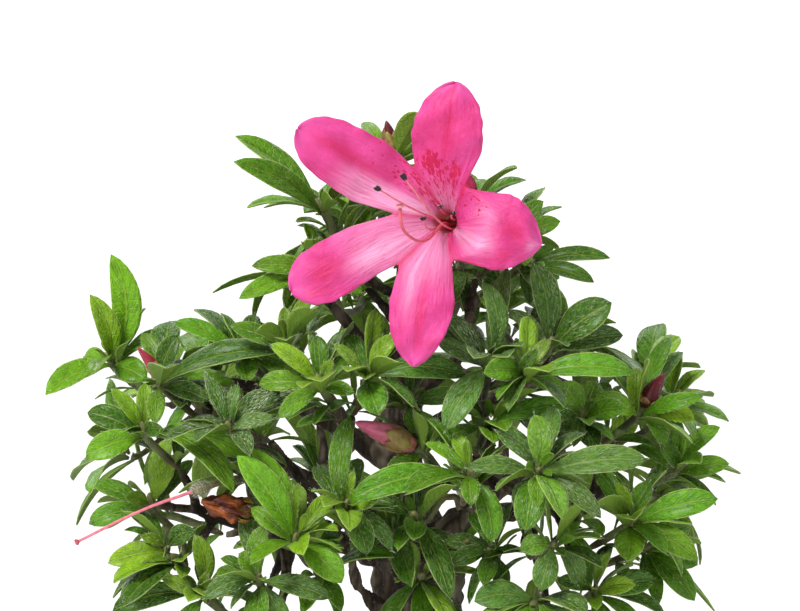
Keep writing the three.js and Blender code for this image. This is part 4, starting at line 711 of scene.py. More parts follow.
def fringe(heap, shape, leaf, points, down, random, share):
    """Fine hairs along the edge of a leaf, and more lying over its face the more downy it is."""
    top = np.flatnonzero(shape[:, 2] > -0.5)
    u = shape[top, 0] / leaf_width(shape[top, 1])
    run = unit(leaf.tip - leaf.base)
    up = square_to(leaf.up, run)
    side = np.cross(up, run)

    def some(low, high):
        return random.uniform(low, high, (count, 1))

    count = int(30 * share)
    pick = random.choice(top[(abs(u) > 0.99) & (shape[top, 1] > 0.08)], count)
    ways = np.sign(shape[pick, 0])[:, None] * side + run * 0.9 + up * some(-0.2, 0.5)
    jitter = run * some(-0.5, 0.5) * norm(leaf.tip - leaf.base) / 14
    lengths = random.uniform(0.35, 0.8, count) * MM
    add_hairs(heap, points[pick] + jitter, ways, lengths, 0.03 * MM, EDGE_HAIR)
    count = int((10 + 60 * down) * share)
    pick = random.choice(top[abs(u) < 0.95], count)
    ways = run + side * some(-0.25, 0.25) + up * some(0.08, 0.3)
    shift = (run * some(-0.5, 0.5) + side * some(-0.2, 0.2)) * MM
    lengths = random.uniform(0.5, 1.2, count) * MM
    add_hairs(heap, points[pick] + shift, ways, lengths, 0.042 * MM, FACE_HAIR)


# ---------------- shoots read from their solids
RIB_THICK = 1.2 * MM  # every leaf's solid is this thick at its rib
RIB_SLACK = 0.01 * MM
MIDDLE_RING = 0.52  # where a leaf's middle ring stands along its rib
WHORL_REACH = 4.5 * MM  # leaves with their feet this close make one whorl
BUD_REACH = 7.5 * MM
BUD_HEIGHT = 4.7 * MM  # a whorl's end bud stands this far over the middle of the whorl
BUD_ANGLE = 2.4  # the corners of the faces round an end bud's point come to less than this


def neighbours_in_turn(vert):
    """The vertices round one, in turn."""
    after = {loop.link_loop_next.vert: loop.link_loop_prev.vert for loop in vert.link_loops}
    ring = [next(iter(after))]
    while len(ring) < len(after):
        ring.append(after[ring[-1]])
    return ring


def apart(one, other):
    return (one.co - other.co).length


def is_rib(ring, i):
    """Whether two opposite corners of a ring are the two sides of a leaf's rib."""
    return abs(apart(ring[i], ring[i + 2]) - RIB_THICK) < RIB_SLACK


def ring_behind(ring, rib, passed):
    """The next ring of a leaf towards its stem, each corner matched to the nearest of the ring before."""
    found = {edge.other_vert(vert) for vert in ring for edge in vert.link_edges} - passed
    orders = [order for order in permutations(found) if len(order) == 4]
    if rib is not None:
        orders = [order for order in orders if is_rib(order, rib)]
    return min(orders, key=lambda order: sum(apart(a, b) for a, b in zip(order, ring)), default=None)


def leaf_from(tip):
    """A leaf and its corners, read from the corner at its tip; nothing where there is no leaf."""
    ring = neighbours_in_turn(tip)
    rib = next((i for i in (0, 1) if is_rib(ring, i)), None)
    if rib is None:
        return None
    rings, passed = [ring], {tip, *ring}
    for step in range(3):
        ring = ring_behind(rings[-1], rib if step < 2 else None, passed)
        if ring is None:
            return None
        rings.append(ring)
        passed |= set(ring)
    middle, foot = ([np.array(v.co) for v in rings[i]] for i in (1, 3))
    right, left = middle[1 - rib], middle[(3 - rib) % 4]
    top, bottom = sorted((middle[rib], middle[rib + 2]), key=lambda p: norm(p - (right + left) / 2))
    base, end, t = np.mean(foot, axis=0), np.array(tip.co), MIDDLE_RING
    bend = (top + 0.4 * (bottom - top) - (1 - t) ** 2 * base - t**2 * end) / (2 * t * (1 - t))
    leaf = Leaf(base, bend, end, unit(top - bottom), norm(right - left) / 2)
    return leaf, [tip, *rings[0], *rings[1], *rings[2]]


def foot_of(leaves):
    return np.mean([leaf.base for leaf in leaves], axis=0)


def whorls_of(leaves, points):
    """Where the leaves stand together: the middle and the axis of each whorl, its end bud giving the axis."""
    groups = []
    for leaf in leaves:
        near = [group for group in groups if norm(foot_of(group) - leaf.base) < WHORL_REACH]
        if near:
            near[0].append(leaf)
        else:
            groups.append([leaf])
    whorls = []
    for group in groups:
        middle = foot_of(group)
        bud = min(points, key=lambda point: norm(point - middle), default=None)
        if bud is not None and norm(bud - middle) < BUD_REACH:
            axis = unit(bud - middle)
            middle = bud - axis * BUD_HEIGHT
        else:
            axis = unit(np.sum([unit(leaf.tip - leaf.base) for leaf in group], axis=0) + vec(0, 0, 0.2))
        whorls.append((middle, axis))
    return whorls


def read_shoot(node):
    """A shoot's leaves and whorls, and its bare stem as a mesh with the leaves' feet closed."""
    work = bmesh.new()
    work.from_mesh(frame["nodes"][node].data)
    bmesh.ops.remove_doubles(work, verts=work.verts, dist=WELD)
    work.normal_update()
    leaves, points, spent = [], [], []
    for vert in work.verts:
        if len(vert.link_edges) == 4:
            found = leaf_from(vert)
            if found:
                leaves.append(found[0])
                spent += found[1]
        elif len(vert.link_edges) == 5 and sum(loop.calc_angle() for loop in vert.link_loops) < BUD_ANGLE:
            points.append(np.array(vert.co))
    bmesh.ops.delete(work, geom=list(set(spent)), context="VERTS")
    bmesh.ops.holes_fill(work, edges=work.edges, sides=5)
    work.normal_update()
    return leaves, whorls_of(leaves, points), work


def away_from(hearts, points):
    """How far points are from the nearest whorl, in mm."""
    return np.min([norm(points - heart, axis=1) for heart, _ in hearts], axis=0) / MM


def nearest(hearts, spot):
    return min(hearts, key=lambda whorl: norm(whorl[0] - spot))


def round_stem(work, hearts):
    """The stem made round, its tones running from brown wood to green and tan at the whorl."""
    mesh = bpy.data.meshes.new("stem")
    work.to_mesh(mesh)
    work.free()
    stem = link("stem", mesh)
    apply(stem, "SUBSURF", levels=2, render_levels=2)
    with editing(stem):
        bpy.ops.transform.shrink_fatten(value=0.16 * MM)
    points, _, quads = take(stem)
    tone = shaded(GREEN_WOOD, BROWN_WOOD, (away_from(hearts, points) - 4) / 12)
    for heart, axis in hearts:
        up, near = ((points - heart) @ axis) / MM, norm(points - heart, axis=1) / MM
        tone = shaded(tone, NEW_WOOD, np.clip((up - 0.4) / 2, 0, 1) * (near < 6))
    return points, quads, tone


def search_tree(nodes):
    """Some solids as one search tree."""
    corners, faces = [], []
    for node in nodes:
        mesh = frame["nodes"][node].data
        faces += [tuple(i + len(corners) for i in f.vertices) for f in mesh.polygons]
        corners += [tuple(v.co) for v in mesh.vertices]
    return BVHTree.FromPolygons(corners, faces)


SOLIDS = search_tree(frame["nodes"])
grown = []  # the leaves that are added here: their search trees and middles
GROWN_REACH = 26 * MM  # new leaves whose middles are further apart can't touch
WHORL_TRIES = 30  # the later half of these leaves are shorter
SPROUT_TRIES = 40
SPROUTS_FOR_WHORL = 4
SHOWN = [
    # what stays in sight from the front: x, seen height, radius, y
    (-63, 159, 5, -38), (-5, 143, 8, -50), (64, 152, 6, -27), (-3, 215, 6, -15), (17, 202, 4, -21),
    (-45, 126, 8, -45), (-62, 124, 4, -54), (10, 193, 12, -50),
    # and gaps with nothing behind them
    (46, 180, 9, 99), (-32, 180, 9, 99), (-56, 121, 5, 99), (-66, 134, 4, 99), (56, 165, 6, 99),
    (12, 123, 6, 99), (-8, 107, 6, 99), (-29, 112, 4, 99), (52, 172, 6, 99), (15, 105, 4, 99),
    (-59, 146, 5, 99),
]


def hides(leaf):
    """Whether a new leaf would stand in front of what is to be seen."""
    for spot in leaf[:3]:
        x, y = (spot[:2] - MIDDLE) / MM
        height = spot[2] / MM + (y - BLOOM_DEPTH) * math.tan(SIGHT)
        if any(math.hypot(x - sx, height - sz) < reach and y < depth + 2 for sx, sz, reach, depth in SHOWN):
            return True
    return False


def patch_of(leaf):
    """A leaf as a strip of four facets, all but its foot."""
    rib, _ = bent(*leaf[:3], vec(0.2, 0.4, 0.6, 0.8, 1.0))
    side = unit(np.cross(leaf.up, leaf.tip - leaf.base))
    reach = side * leaf.half * vec(0.5, 1.0, 1.0, 0.8, 0.1)[:, None]
    corners = [tuple(p) for pair in zip(rib - reach, rib + reach) for p in pair]
    return BVHTree.FromPolygons(corners, [(2 * i, 2 * i + 1, 2 * i + 3, 2 * i + 2) for i in range(4)])


def clear(leaf):
    """Whether a new leaf, but for its foot, is clear of the solids and of the other new leaves."""
    patch, middle = patch_of(leaf), (leaf.base + leaf.tip) / 2
    if hides(leaf) or patch.overlap(SOLIDS):
        return False
    if any(norm(other - middle) < GROWN_REACH and patch.overlap(tree) for tree, other in grown):
        return False
    grown.append((patch, middle))
    return True


def small_leaf(foot, way, length, slimness, random):
    """A new leaf from its foot along a way, its tip drooping a little."""
    half = length * random.uniform(*slimness)
    tip = foot + way * length + vec(0, 0, -0.12 * length)
    bend = foot + way * length * 0.5 + vec(0, 0, 0.16 * length)
    up = square_to(vec(0, 0, 1) + 0.001 * way + random.normal(0, 0.25, 3), unit(tip - foot))
    return Leaf(foot, bend, tip, up, half)


def leaf_tone(leaf, hearts, tones, random):
    """Young leaves stand up from the whorl and are short; old ones spread."""
    run, axis = leaf.tip - leaf.base, nearest(hearts, leaf.base)[1]
    young = run @ axis / norm(run) * 0.8 + (16 - norm(run) / MM) * 0.035 + random.normal(0, 0.18)
    tone = tones[2] if young > 0.62 else tones[1] if young > 0.25 else tones[0]
    return vec(*tone) * random.uniform(0.78, 1.22) * random.uniform(0.94, 1.06, 3)


def fill_whorl(heap, heart, axis, tones, down, random, wanted):
    """More leaves round a whorl, wherever there is room for one."""
    turn = random.uniform(0, 6.28)
    made = 0
    for i in range(WHORL_TRIES):
        out = out_from(axis, turn + i * GOLDEN_TURN)
        spread = math.radians(random.uniform(38, 95))
        way = unit(axis * math.cos(spread) + out * math.sin(spread) + vec(0, 0, 0.12))
        length = random.uniform(10, 21) * MM * (1 if i < WHORL_TRIES / 2 else 0.7)
        foot = heart + out * 0.95 * MM + axis * random.uniform(-1.6, 1.0) * MM
        leaf = small_leaf(foot, way, length, (0.155, 0.2), random)
        if clear(leaf):
            tone = tones[2 if math.degrees(spread) < 55 else random.integers(0, 2)]
            tone = vec(*tone) * random.uniform(0.8, 1.15)
            add_leaf(heap, MIDDLE_BLADE, leaf, tone, down, random, hairs=0.5)
            made += 1
            if made == wanted:
                return


def young_whorl(heap, heart, axis, tones, random):
    """Two or three small new leaves standing up round the end bud."""
    turn = random.uniform(0, 6.28)
    for i in range(3):
        out = out_from(axis, turn + i * 2.4)
        way = unit(axis + out * random.uniform(0.35, 0.7))
        length = random.uniform(5, 8.5) * MM
        leaf = small_leaf(heart + axis * 1.2 * MM + out * 0.9 * MM, way, length, (0.13, 0.17), random)
        leaf = leaf._replace(up=square_to(axis - out * 0.6, unit(leaf.tip - leaf.base)))
        if clear(leaf):
            add_leaf(heap, SMALL_BLADE, leaf, vec(*tones[2]) * random.uniform(0.85, 1.15), 0.5, random)


def whorl_hairs(heap, heart, axis, random, count=60):
    """Tan bristles on the end bud and round the foot of the leaves."""
    ring = unit(random.normal(size=(count, 3)))
    out = unit(ring - (ring @ axis)[:, None] * axis)
    height = random.uniform(-3.5, 3.0, (count, 1)) * MM
    radius = np.where(height > 0, 1.0 - height / (4.4 * MM) * 0.9, 1.0) * 1.05 * MM
    ways = axis + out * random.uniform(0.25, 0.8, (count, 1))
    lengths = random.uniform(0.8, 1.7, count) * MM
    add_hairs(heap, heart + axis * height + out * radius, ways, lengths, 0.035 * MM, TAN_HAIR)


def dress_whorl(heap, heart, axis, tones, down, random, wanted):
    fill_whorl(heap, heart, axis, tones, down, random, wanted)
    young_whorl(heap, heart, axis, tones, random)
    whorl_hairs(heap, heart, axis, random)


def sprouts(heap, points, quads, hearts, tones, random):
    """Small leaves along the stem, where there is room for them."""
    corners = points[quads]
    middles = corners.mean(1)
    normals = unit(np.cross(corners[:, 2] - corners[:, 0], corners[:, 3] - corners[:, 1]))
    away = away_from(hearts, middles)
    made = 0
    for pick in random.permutation(np.flatnonzero((away > 4.5) & (away < 15)))[:SPROUT_TRIES]:
        foot = middles[pick]
        up_stem = unit(nearest(hearts, foot)[0] - foot)
        way = unit(normals[pick] + up_stem * random.uniform(0.4, 0.9) + vec(0, 0, 0.2))
        leaf = small_leaf(foot, way, random.uniform(8, 14) * MM, (0.12, 0.16), random)
        if clear(leaf):
            add_leaf(heap, SMALL_BLADE, leaf, vec(*tones[1]) * random.uniform(0.8, 1.1), 0.3, random)
            made += 1
        if made == SPROUTS_FOR_WHORL * len(hearts):
            return


def make_shoot(node, seed):
    random, heap = np.random.default_rng(seed), Heap()
    name = node.removeprefix("spray_")
    *tones, down = SHOOT_TONES.get(name, PLAIN_TONES)
    blade, hairs, wanted = (FINE_BLADE, 1.0, 6) if name in SHOOT_TONES else (MIDDLE_BLADE, 0.5, 9)
    leaves, hearts, work = read_shoot(node)
    for leaf in leaves:
        tone = leaf_tone(leaf, hearts, tones, random)
        add_leaf(heap, blade, leaf, tone, down * random.uniform(0.5, 1.1), random, hairs=hairs)
    points, quads, tone = round_stem(work, hearts)
    heap.add(points, [quads], 1, tone)
    for heart, axis in hearts:
        dress_whorl(heap, heart, axis, tones, down, random, wanted)
    sprouts(heap, points, quads, hearts, tones, random)
    heap.place(node + "_dressed", (LEAF, TWIG, HAIR), "leaf", node)


for seed, node in enumerate(sorted(name for name in frame["nodes"] if name.startswith("spray_"))):
    make_shoot(node, seed)


# ---------------- trunk, limbs and twigs
def model_of(node):
    """A model of a solid, its loose triangles joined."""
    piece = link(node + "_model", frame["nodes"][node].data.copy())
    with editing(piece):
        bpy.ops.mesh.remove_doubles(threshold=WELD)
    return piece


def roughen(piece, kind, grain, strength, level, group):
    """Raises and sinks a group of points by a pattern, about its middle level."""
    relief = bpy.data.textures.new(kind.lower(), kind)
    relief.noise_scale = grain
    apply(piece, "DISPLACE", texture=relief, texture_coords="GLOBAL", strength=strength * MM, mid_level=level,
          vertex_group=group)


OLD_WOOD_TOP, OLD_WOOD_REACH = 0.13, 0.045  # the bark is rough below this height, this near the middle


def make_tree():
    tree = model_of("tree")
    apply(tree, "REMESH", mode="VOXEL", voxel_size=0.64 * MM)
    apply(tree, "SMOOTH", factor=0.5, iterations=4)
    wood = tree.vertex_groups.new(name="old wood")
    for vert in tree.data.vertices:
        out = math.hypot(vert.co.x - MIDDLE[0], vert.co.y - MIDDLE[1])
        low, inner = (OLD_WOOD_TOP - vert.co.z) / 0.05, (OLD_WOOD_REACH - out) / 0.02
        low, inner = (max(0.0, min(1.0, share)) for share in (low, inner))
        wood.add([vert.index], 0.15 + 0.85 * (low * inner), "REPLACE")
    roughen(tree, "MUSGRAVE", 0.006, 1.6, 0.5, "old wood")
    roughen(tree, "CLOUDS", 0.002, 0.7, 0.5, "old wood")
    finish_piece(tree, "tree_bark", bark_finish(), "bark", "tree")


make_tree()


# ---------------- the open bloom
MOUTH_X, MOUTH_HEIGHT = 9.8, 193.8
MOUTH = seen(MOUTH_X, BLOOM_DEPTH, MOUTH_HEIGHT)
FACING = unit(vec(-0.18, -0.97, 0.16))
RIGHT = square_to(vec(1, 0, 0), FACING)
UP = np.cross(FACING, RIGHT)
TUBE_DEPTH = 25
TUBE_FLOOR = -TUBE_DEPTH + 0.4
TUBE = vec((25, 3.3), (19, 3.3), (13, 3.1), (9, 2.8), (6, 2.8), (0, 3.6))  # behind the mouth, radius
LOBES = [
    # right, top, upper left, lower left and bottom: tip as x, seen height, forward; half width; the notch
    # before it as turn, radius; bow
    ((33.8, 188, 3), 9.4, (-74, 9.5), 4),
    ((13.4, 227.3, -1), 8.8, (55, 9.5), 4.5),
    ((-24.5, 216, 4), 7.9, (117, 14), 3.5),
    ((-26, 176.5, 6), 7.3, (171, 11), 4),
    ((3.2, 158.6, 9), 7.9, (225.6, 14.5), 4.5),
]
LOBE_WIDTHS = [
    # for each lobe, share of its length and share of its half width there
    vec((0, 0.97), (0.2, 1), (0.35, 0.98), (0.5, 0.9), (0.65, 0.75), (0.8, 0.53), (0.9, 0.34), (1, 0.03)),
    vec((0, 0.93), (0.25, 1), (0.42, 0.98), (0.6, 0.9), (0.75, 0.75), (0.88, 0.52), (0.96, 0.28), (1, 0.04)),
    vec((0, 0.94), (0.25, 1.04), (0.5, 1), (0.7, 0.93), (0.84, 0.76), (0.93, 0.54), (0.98, 0.28), (1, 0.04)),
    vec((0, 0.88), (0.3, 0.94), (0.5, 0.98), (0.7, 0.98), (0.84, 0.82), (0.93, 0.56), (0.98, 0.3), (1, 0.05)),
    vec((0, 0.9), (0.18, 0.98), (0.34, 1), (0.5, 0.94), (0.65, 0.84), (0.8, 0.62), (0.92, 0.38), (1, 0.03)),
]
SHEET_MOUTH = -0.2727  # the row of a petal's sheet that comes to the mouth


def bloom_point(turn, radius, forward):
    """A place by its turn and radius round the bloom's axis and how far it is forward of the mouth."""
    turn, radius, forward = (np.asarray(a, float)[..., None] for a in (turn, radius, forward))
    return MOUTH + ((RIGHT * np.cos(turn) + UP * np.sin(turn)) * radius + FACING * forward) * MM


def model_sheet(columns, rows):
    """A flat sheet, x and y from -1 to 1, and its points."""
    bpy.ops.object.select_all(action="DESELECT")
    bpy.ops.mesh.primitive_grid_add(x_subdivisions=columns, y_subdivisions=rows, size=2)
    return bpy.context.object, points_of(bpy.context.object)


def bend_to(sheet, points):
    """Moves a sheet's points to new places."""
    sheet.data.vertices.foreach_set("co", points.ravel())
    sheet.data.update()


def lay_sector(i, u, v):
    """Where a sheet's points come to lie: the tube below v = 0, the lobe above it."""
    tip, half, (turn, radius), bow = LOBES[i]
    next_turn, next_radius = LOBES[(i + 1) % 5][2]
    share = (u + 1) / 2
    sweep = (next_turn - turn) % 360
    bulge = 1 - u * u
    turns = np.radians(turn + sweep * share)
    even = np.radians(LOBES[0][2][0] + 72 * (i + share))
    edge_radius = radius + (next_radius - radius) * share + 2.2 * bulge

    behind, inner = TUBE.T
    down = np.clip(-v, 0, 1)
    depth = down**1.4 * TUBE_DEPTH
    straight = np.interp(-depth, -behind, inner)
    near = np.clip(1 - depth / 8.5, 0, 1) ** 2.6
    tube_radius = straight * (1 - near) + edge_radius * near
    tube = bloom_point(even + (turns - even) * smooth(1 - down), tube_radius, -depth + 1.5 * bulge * near)

    t = np.clip(v, 0, 1)
    mouth = bloom_point(turns, edge_radius, 1.5 * bulge)
    middle = bloom_point(np.radians(turn + sweep / 2), (radius + next_radius) / 2 + 2.2, 1.5)
    end = seen(tip[0], BLOOM_DEPTH - tip[2], tip[1])
    rib, run = bent(middle, (middle + end) / 2 + FACING * bow * MM, end, t)
    side = unit(np.cross(FACING, run))
    wide = np.interp(t, *LOBE_WIDTHS[i].T)
    crease = -0.5 * hump(u, 0, 0.07) * smooth(1.1 - t)
    frill = (0.5 * np.sin(9 * t + 4 * u + i) + 0.35 * u**4 * np.sin(27 * t + 5 * i + 2 * np.sign(u))
             + 0.12 * np.sin(7 * u + 2 * i) * np.sin(17 * t + i))
    lift = -1.6 * u**2 * wide + frill + crease
    ragged = 1 + 0.014 * np.sin(33 * t + 3 * i + np.sign(u)) * u**2
    lobe = rib + side * (u * half * wide * ragged * MM)[:, None] + FACING * (lift * MM)[:, None]
    open_out = (1 - (1 - np.clip(t / 0.24, 0, 1)) ** 2.2)[:, None]
    lobe = (mouth + (rib - middle)) * (1 - open_out) + lobe * open_out
    return np.where((v < 0)[:, None], tube, lobe)


def petal_marks(i, u, t):
    """How pale, spotted and deep each place on a lobe is, and how far down the tube; t is under 0 in it."""
    def dab(amount, across, width, along, length):
        return amount * hump(u, across, width) * hump(t, along, length)

    def below(height, softness):
        return smooth((height - t) / softness)

    inside = smooth((t + 0.46) / 0.16)
    spots = 0 * u
    if i == 0:
        pale = 0.85 * hump(u, -0.38, 0.26) * below(0.42, 0.5) + dab(0.5, 0.25, 0.3, 0.0, 0.16) \
            + dab(0.5, -0.2, 0.3, 0.84, 0.09)
        spots = 0.62 * smooth((u - 0.05) * 3) * below(0.12, 0.16) * inside
        deep = dab(0.9, 0.15, 0.35, 0.5, 0.25) + dab(0.7, -0.6, 0.25, 0.45, 0.14)
    elif i == 1:
        pale = 0.75 * hump(t, -0.34, 0.16)
        spots = (dab(1.3, 0.4, 0.25, 0.04, 0.14) + dab(1.05, -0.42, 0.2, -0.04, 0.1)
                 + 0.7 * below(0.16, 0.16)) * inside
        deep = dab(0.6, 0.1, 0.55, 0.4, 0.4) + 0.45 * hump(u, 0, 0.09)
    elif i == 2:
        pale = smooth((u + 0.12) * 2.4) * below(0.62, 0.6) + 0.4 * hump(t, -0.3, 0.18)
        spots = smooth((-0.05 - u) * 3.5) * inside * (0.5 * below(0.56, 0.3) + 0.42 * below(0.14, 0.2))
        deep = dab(1, -0.1, 0.2, 0.5, 0.3) + dab(0.5, -0.3, 0.3, 0.05, 0.14)
    elif i == 3:
        pale = below(0.55, 0.6) * (0.5 + 0.3 * hump(u, 0.2, 0.5)) + dab(0.6, 0.3, 0.3, 0.2, 0.18)
        deep = dab(1, 0, 0.3, 0.62, 0.16) + dab(0.5, 0.55, 0.3, 0.8, 0.2)
    else:
        pale = below(0.2, 0.45) * 0.6 + dab(0.6, -0.42, 0.2, 0.12, 0.28)
        deep = dab(0.9, 0.05, 0.13, 0.5, 0.32)
    deep = deep + 0.9 * hump(abs(u), 1, 0.13) * below(0.1, 0.1)
    return (np.clip(pale * 0.9, 0, 1), np.clip(spots, 0, 1.4), np.clip(deep, 0, 1), below(-0.28, 0.3))


def make_corolla():
    """Five copies of one sheet, each bent to a lobe and its share of the tube, joined and thickened."""
    sheet, flat = model_sheet(16, 44)
    u, y = flat[:, :2].T
    corners = np.array([loop.vertex_index for loop in sheet.data.loops])
    v = (y - SHEET_MOUTH) / np.where(y < SHEET_MOUTH, 1 + SHEET_MOUTH, 1 - SHEET_MOUTH)
    v = np.where(v > 0, 1 - (1 - v) ** 1.2, v)
    v = np.where(np.abs(y - SHEET_MOUTH) < 0.01, 0.0, v)
    sectors = [link("sector", sheet.data.copy()) for _ in LOBES]
    for i, sector in enumerate(sectors):
        bend_to(sector, lay_sector(i, u, v))
        sector.data.uv_layers[0].name = "petal"
        petal_map = np.column_stack([i + 0.05 + 0.9 * (u + 1) / 2, v + 1])[corners]
        sector.data.uv_layers[0].data.foreach_set("uv", petal_map.ravel())
        for name, values in zip(PETAL_MARKS, petal_marks(i, u, v)):
            mark(sector.data, name, values)
    bpy.data.objects.remove(sheet)
    choose(*sectors)
    bpy.ops.object.join()
    corolla = sectors[0]
    tidy_mesh(corolla, 0.02 * MM)
    apply(corolla, "SOLIDIFY", thickness=0.45 * MM, offset=0.0, use_even_offset=True)
    apply(corolla, "SUBSURF", levels=1, render_levels=1)
    finish_piece(corolla, "bloom_petals", petal_finish(), "petal", "bloom_corolla")


make_corolla()


# ---------------- the bloom's small parts
STALK_START = 1.85 * MM  # how far over the middle of its whorl a stalk comes out
ANTHERS = [
    # x, seen height, forward of the mouth's depth; in turn round the mouth from the right
    (12.6, 195.4, 7), (9.5, 197, 9), (-4.8, 201, 13), (5.6, 193.9, 12), (1.3, 203.6, 11),
]


def turned_to(way):
    """The turn that brings z to a way."""
    return Vector(way).to_track_quat("Z", "Y").to_euler()


def tube_along(way, radii, segments=8, steps=5):
    """A round stem through points, with a radius at each."""
    curve = bpy.data.curves.new("stem", "CURVE")
    curve.dimensions = "3D"
    curve.bevel_depth = 1.0
    curve.bevel_resolution = segments // 4
    curve.resolution_u = steps
    curve.use_fill_caps = True
    line = curve.splines.new("BEZIER")
    line.bezier_points.add(len(way) - 1)
    for point, spot, radius in zip(line.bezier_points, way, radii):
        point.co = spot
        point.radius = radius * MM
        point.handle_left_type = point.handle_right_type = "AUTO"
    choose(link("stem", curve))
    bpy.ops.object.convert(target="MESH")
    stem = bpy.context.object
    tidy_mesh(stem, 0.001 * MM)
    with editing(stem):
        bpy.ops.mesh.quads_convert_to_tris()
    return stem


def ball(centre, way, radius, length, segments=12):
    """A rounded capsule-like body, its long axis along a way."""
    bpy.ops.mesh.primitive_uv_sphere_add(segments=segments, ring_count=segments // 2 + 1, radius=1)
    piece = bpy.context.object
    piece.scale = (radius * MM, radius * MM, length * MM)
    piece.location = centre
    piece.rotation_euler = turned_to(way)
    bpy.ops.object.transform_apply(location=True, rotation=True, scale=True)
    return piece


def make_stamens():
    heap = Heap()
    bpy.ops.mesh.primitive_torus_add(major_segments=24, minor_segments=8, major_radius=2.3 * MM,
                                     minor_radius=0.6 * MM)
    ring = bpy.context.object
    ring.rotation_euler = turned_to(FACING)
    ring.location = bloom_point(0, 0, TUBE_FLOOR + 0.8)
    bpy.ops.object.transform_apply(location=True, rotation=True, scale=True)
    heap.pour(ring, 0, PALE_STYLE)
    for i, (x, height, forward) in enumerate(ANTHERS):
        turn = 2 * math.pi * (2 * i + 0.5) / 10
        end = seen(x, BLOOM_DEPTH - forward, height)
        loop = bloom_point(turn, 3.6, 2) * 0.65 + end * 0.35 + FACING * 2 * MM
        way = [bloom_point(turn, 2.35, TUBE_FLOOR + 1.3), bloom_point(turn, 2.0, -14),
               bloom_point(turn, 2.0, -5), loop, end]
        stem = tube_along(way, [0.34, 0.32, 0.29, 0.26, 0.2])
        out = np.clip(((points_of(stem) - MOUTH) @ FACING / MM + 5) / 12, 0, 1)
        heap.pour(stem, 0, shaded(PINK_STYLE, PALE_STYLE, out * 0.4))
        run = unit(end - loop)
        side = square_to(vec(1, 0, 0.2), run)
        for hand in (-1, 1):
            spot = end + run * 0.75 * MM + side * hand * 0.3 * MM
            heap.pour(ball(spot, run + side * hand * 0.12, 0.42, 1.05), 0, ANTHER)
            pore = end + run * 1.72 * MM + side * hand * 0.36 * MM
            heap.pour(ball(pore, run, 0.17, 0.14, 8), 0, (0.30, 0.22, 0.16))
    heap.place("bloom_filaments", (TISSUE,), "style", "bloom_stamens")


def make_pistil():
    heap = Heap()
    way = [
        bloom_point(0, 0, TUBE_FLOOR + 1.2), bloom_point(0.1, 0.3, -20), bloom_point(4.2, 0.4, -14),
        bloom_point(4.2, 0.8, -4), seen(6, -58, 188.9), seen(2.6, -65, 189.6), seen(0.4, -69, 192.4),
        seen(0, -70, 196.6),
    ]
    heap.pour(tube_along(way, [0.5, 0.42, 0.38, 0.37, 0.36, 0.36, 0.38, 0.46]), 0, PINK_STYLE)
    end, run = way[-1], unit(way[-1] - way[-2])
    stigma = tube_along([end, end + run * 0.35 * MM, end + run * 0.8 * MM], [0.5, 0.92, 0.72], 12)
    face = ((points_of(stigma) - end) @ run) > 0.7 * MM
    heap.pour(stigma, 0, np.where(face[:, None], (0.42, 0.10, 0.13), PALE_STYLE * 0.9))
    centre = bloom_point(0, 0, TUBE_FLOOR + 1.5)
    ovary = ball(centre, FACING, 1.15, 1.5, 16)
    points = points_of(ovary)
    heap.pour(ovary, 0, (0.16, 0.22, 0.07))
    add_hairs(heap, points, points - centre + FACING * 0.6 * MM, np.full(len(points), 0.7 * MM), 0.04 * MM,
              (0.55, 0.56, 0.42), 1)
    heap.place("bloom_style", (TISSUE, HAIR), "style", "bloom_pistil")


def make_calyx():
    random, heap = np.random.default_rng(SEEDS["calyx"]), Heap()
    heart, axis = seen(15, -14, 183), unit(vec(0, -0.6, 0.7))
    top = -TUBE_DEPTH - 0.35
    way = [heart + axis * STALK_START, heart + axis * 5 * MM,
           *(bloom_point(0, 0, top - behind) for behind in (8, 2.6, 1.4, 0.1))]
    stalk = tube_along(way, [0.85, 0.8, 0.8, 0.95, 2.4, 3.3], 12)
    bristle(heap, stalk, 420, 1.0, (0.45, 0.42, 0.28), random, FACING * 0.4)
    up = (points_of(stalk) - heart) @ FACING / MM / 30
    heap.pour(stalk, 0, shaded((0.15, 0.19, 0.05), (0.27, 0.14, 0.06), up))
    for i in range(5):
        turn = 2 * math.pi * (i + 0.5) / 5
        out = RIGHT * math.cos(turn) + UP * math.sin(turn)
        foot, tip = bloom_point(turn, 2.6, top - 1.0), bloom_point(turn, 5.0, top + 3.6)
        leaf = Leaf(foot, (foot + tip) / 2 + out * 0.8 * MM, tip, -out, 1.5 * MM)
        add_leaf(heap, SMALL_BLADE, leaf, (0.16, 0.24, 0.05), 0.6, random, 2)
    heap.place("bloom_cup", (TISSUE, HAIR, LEAF), "sepal", "bloom_calyx")


make_stamens()
make_pistil()
make_calyx()


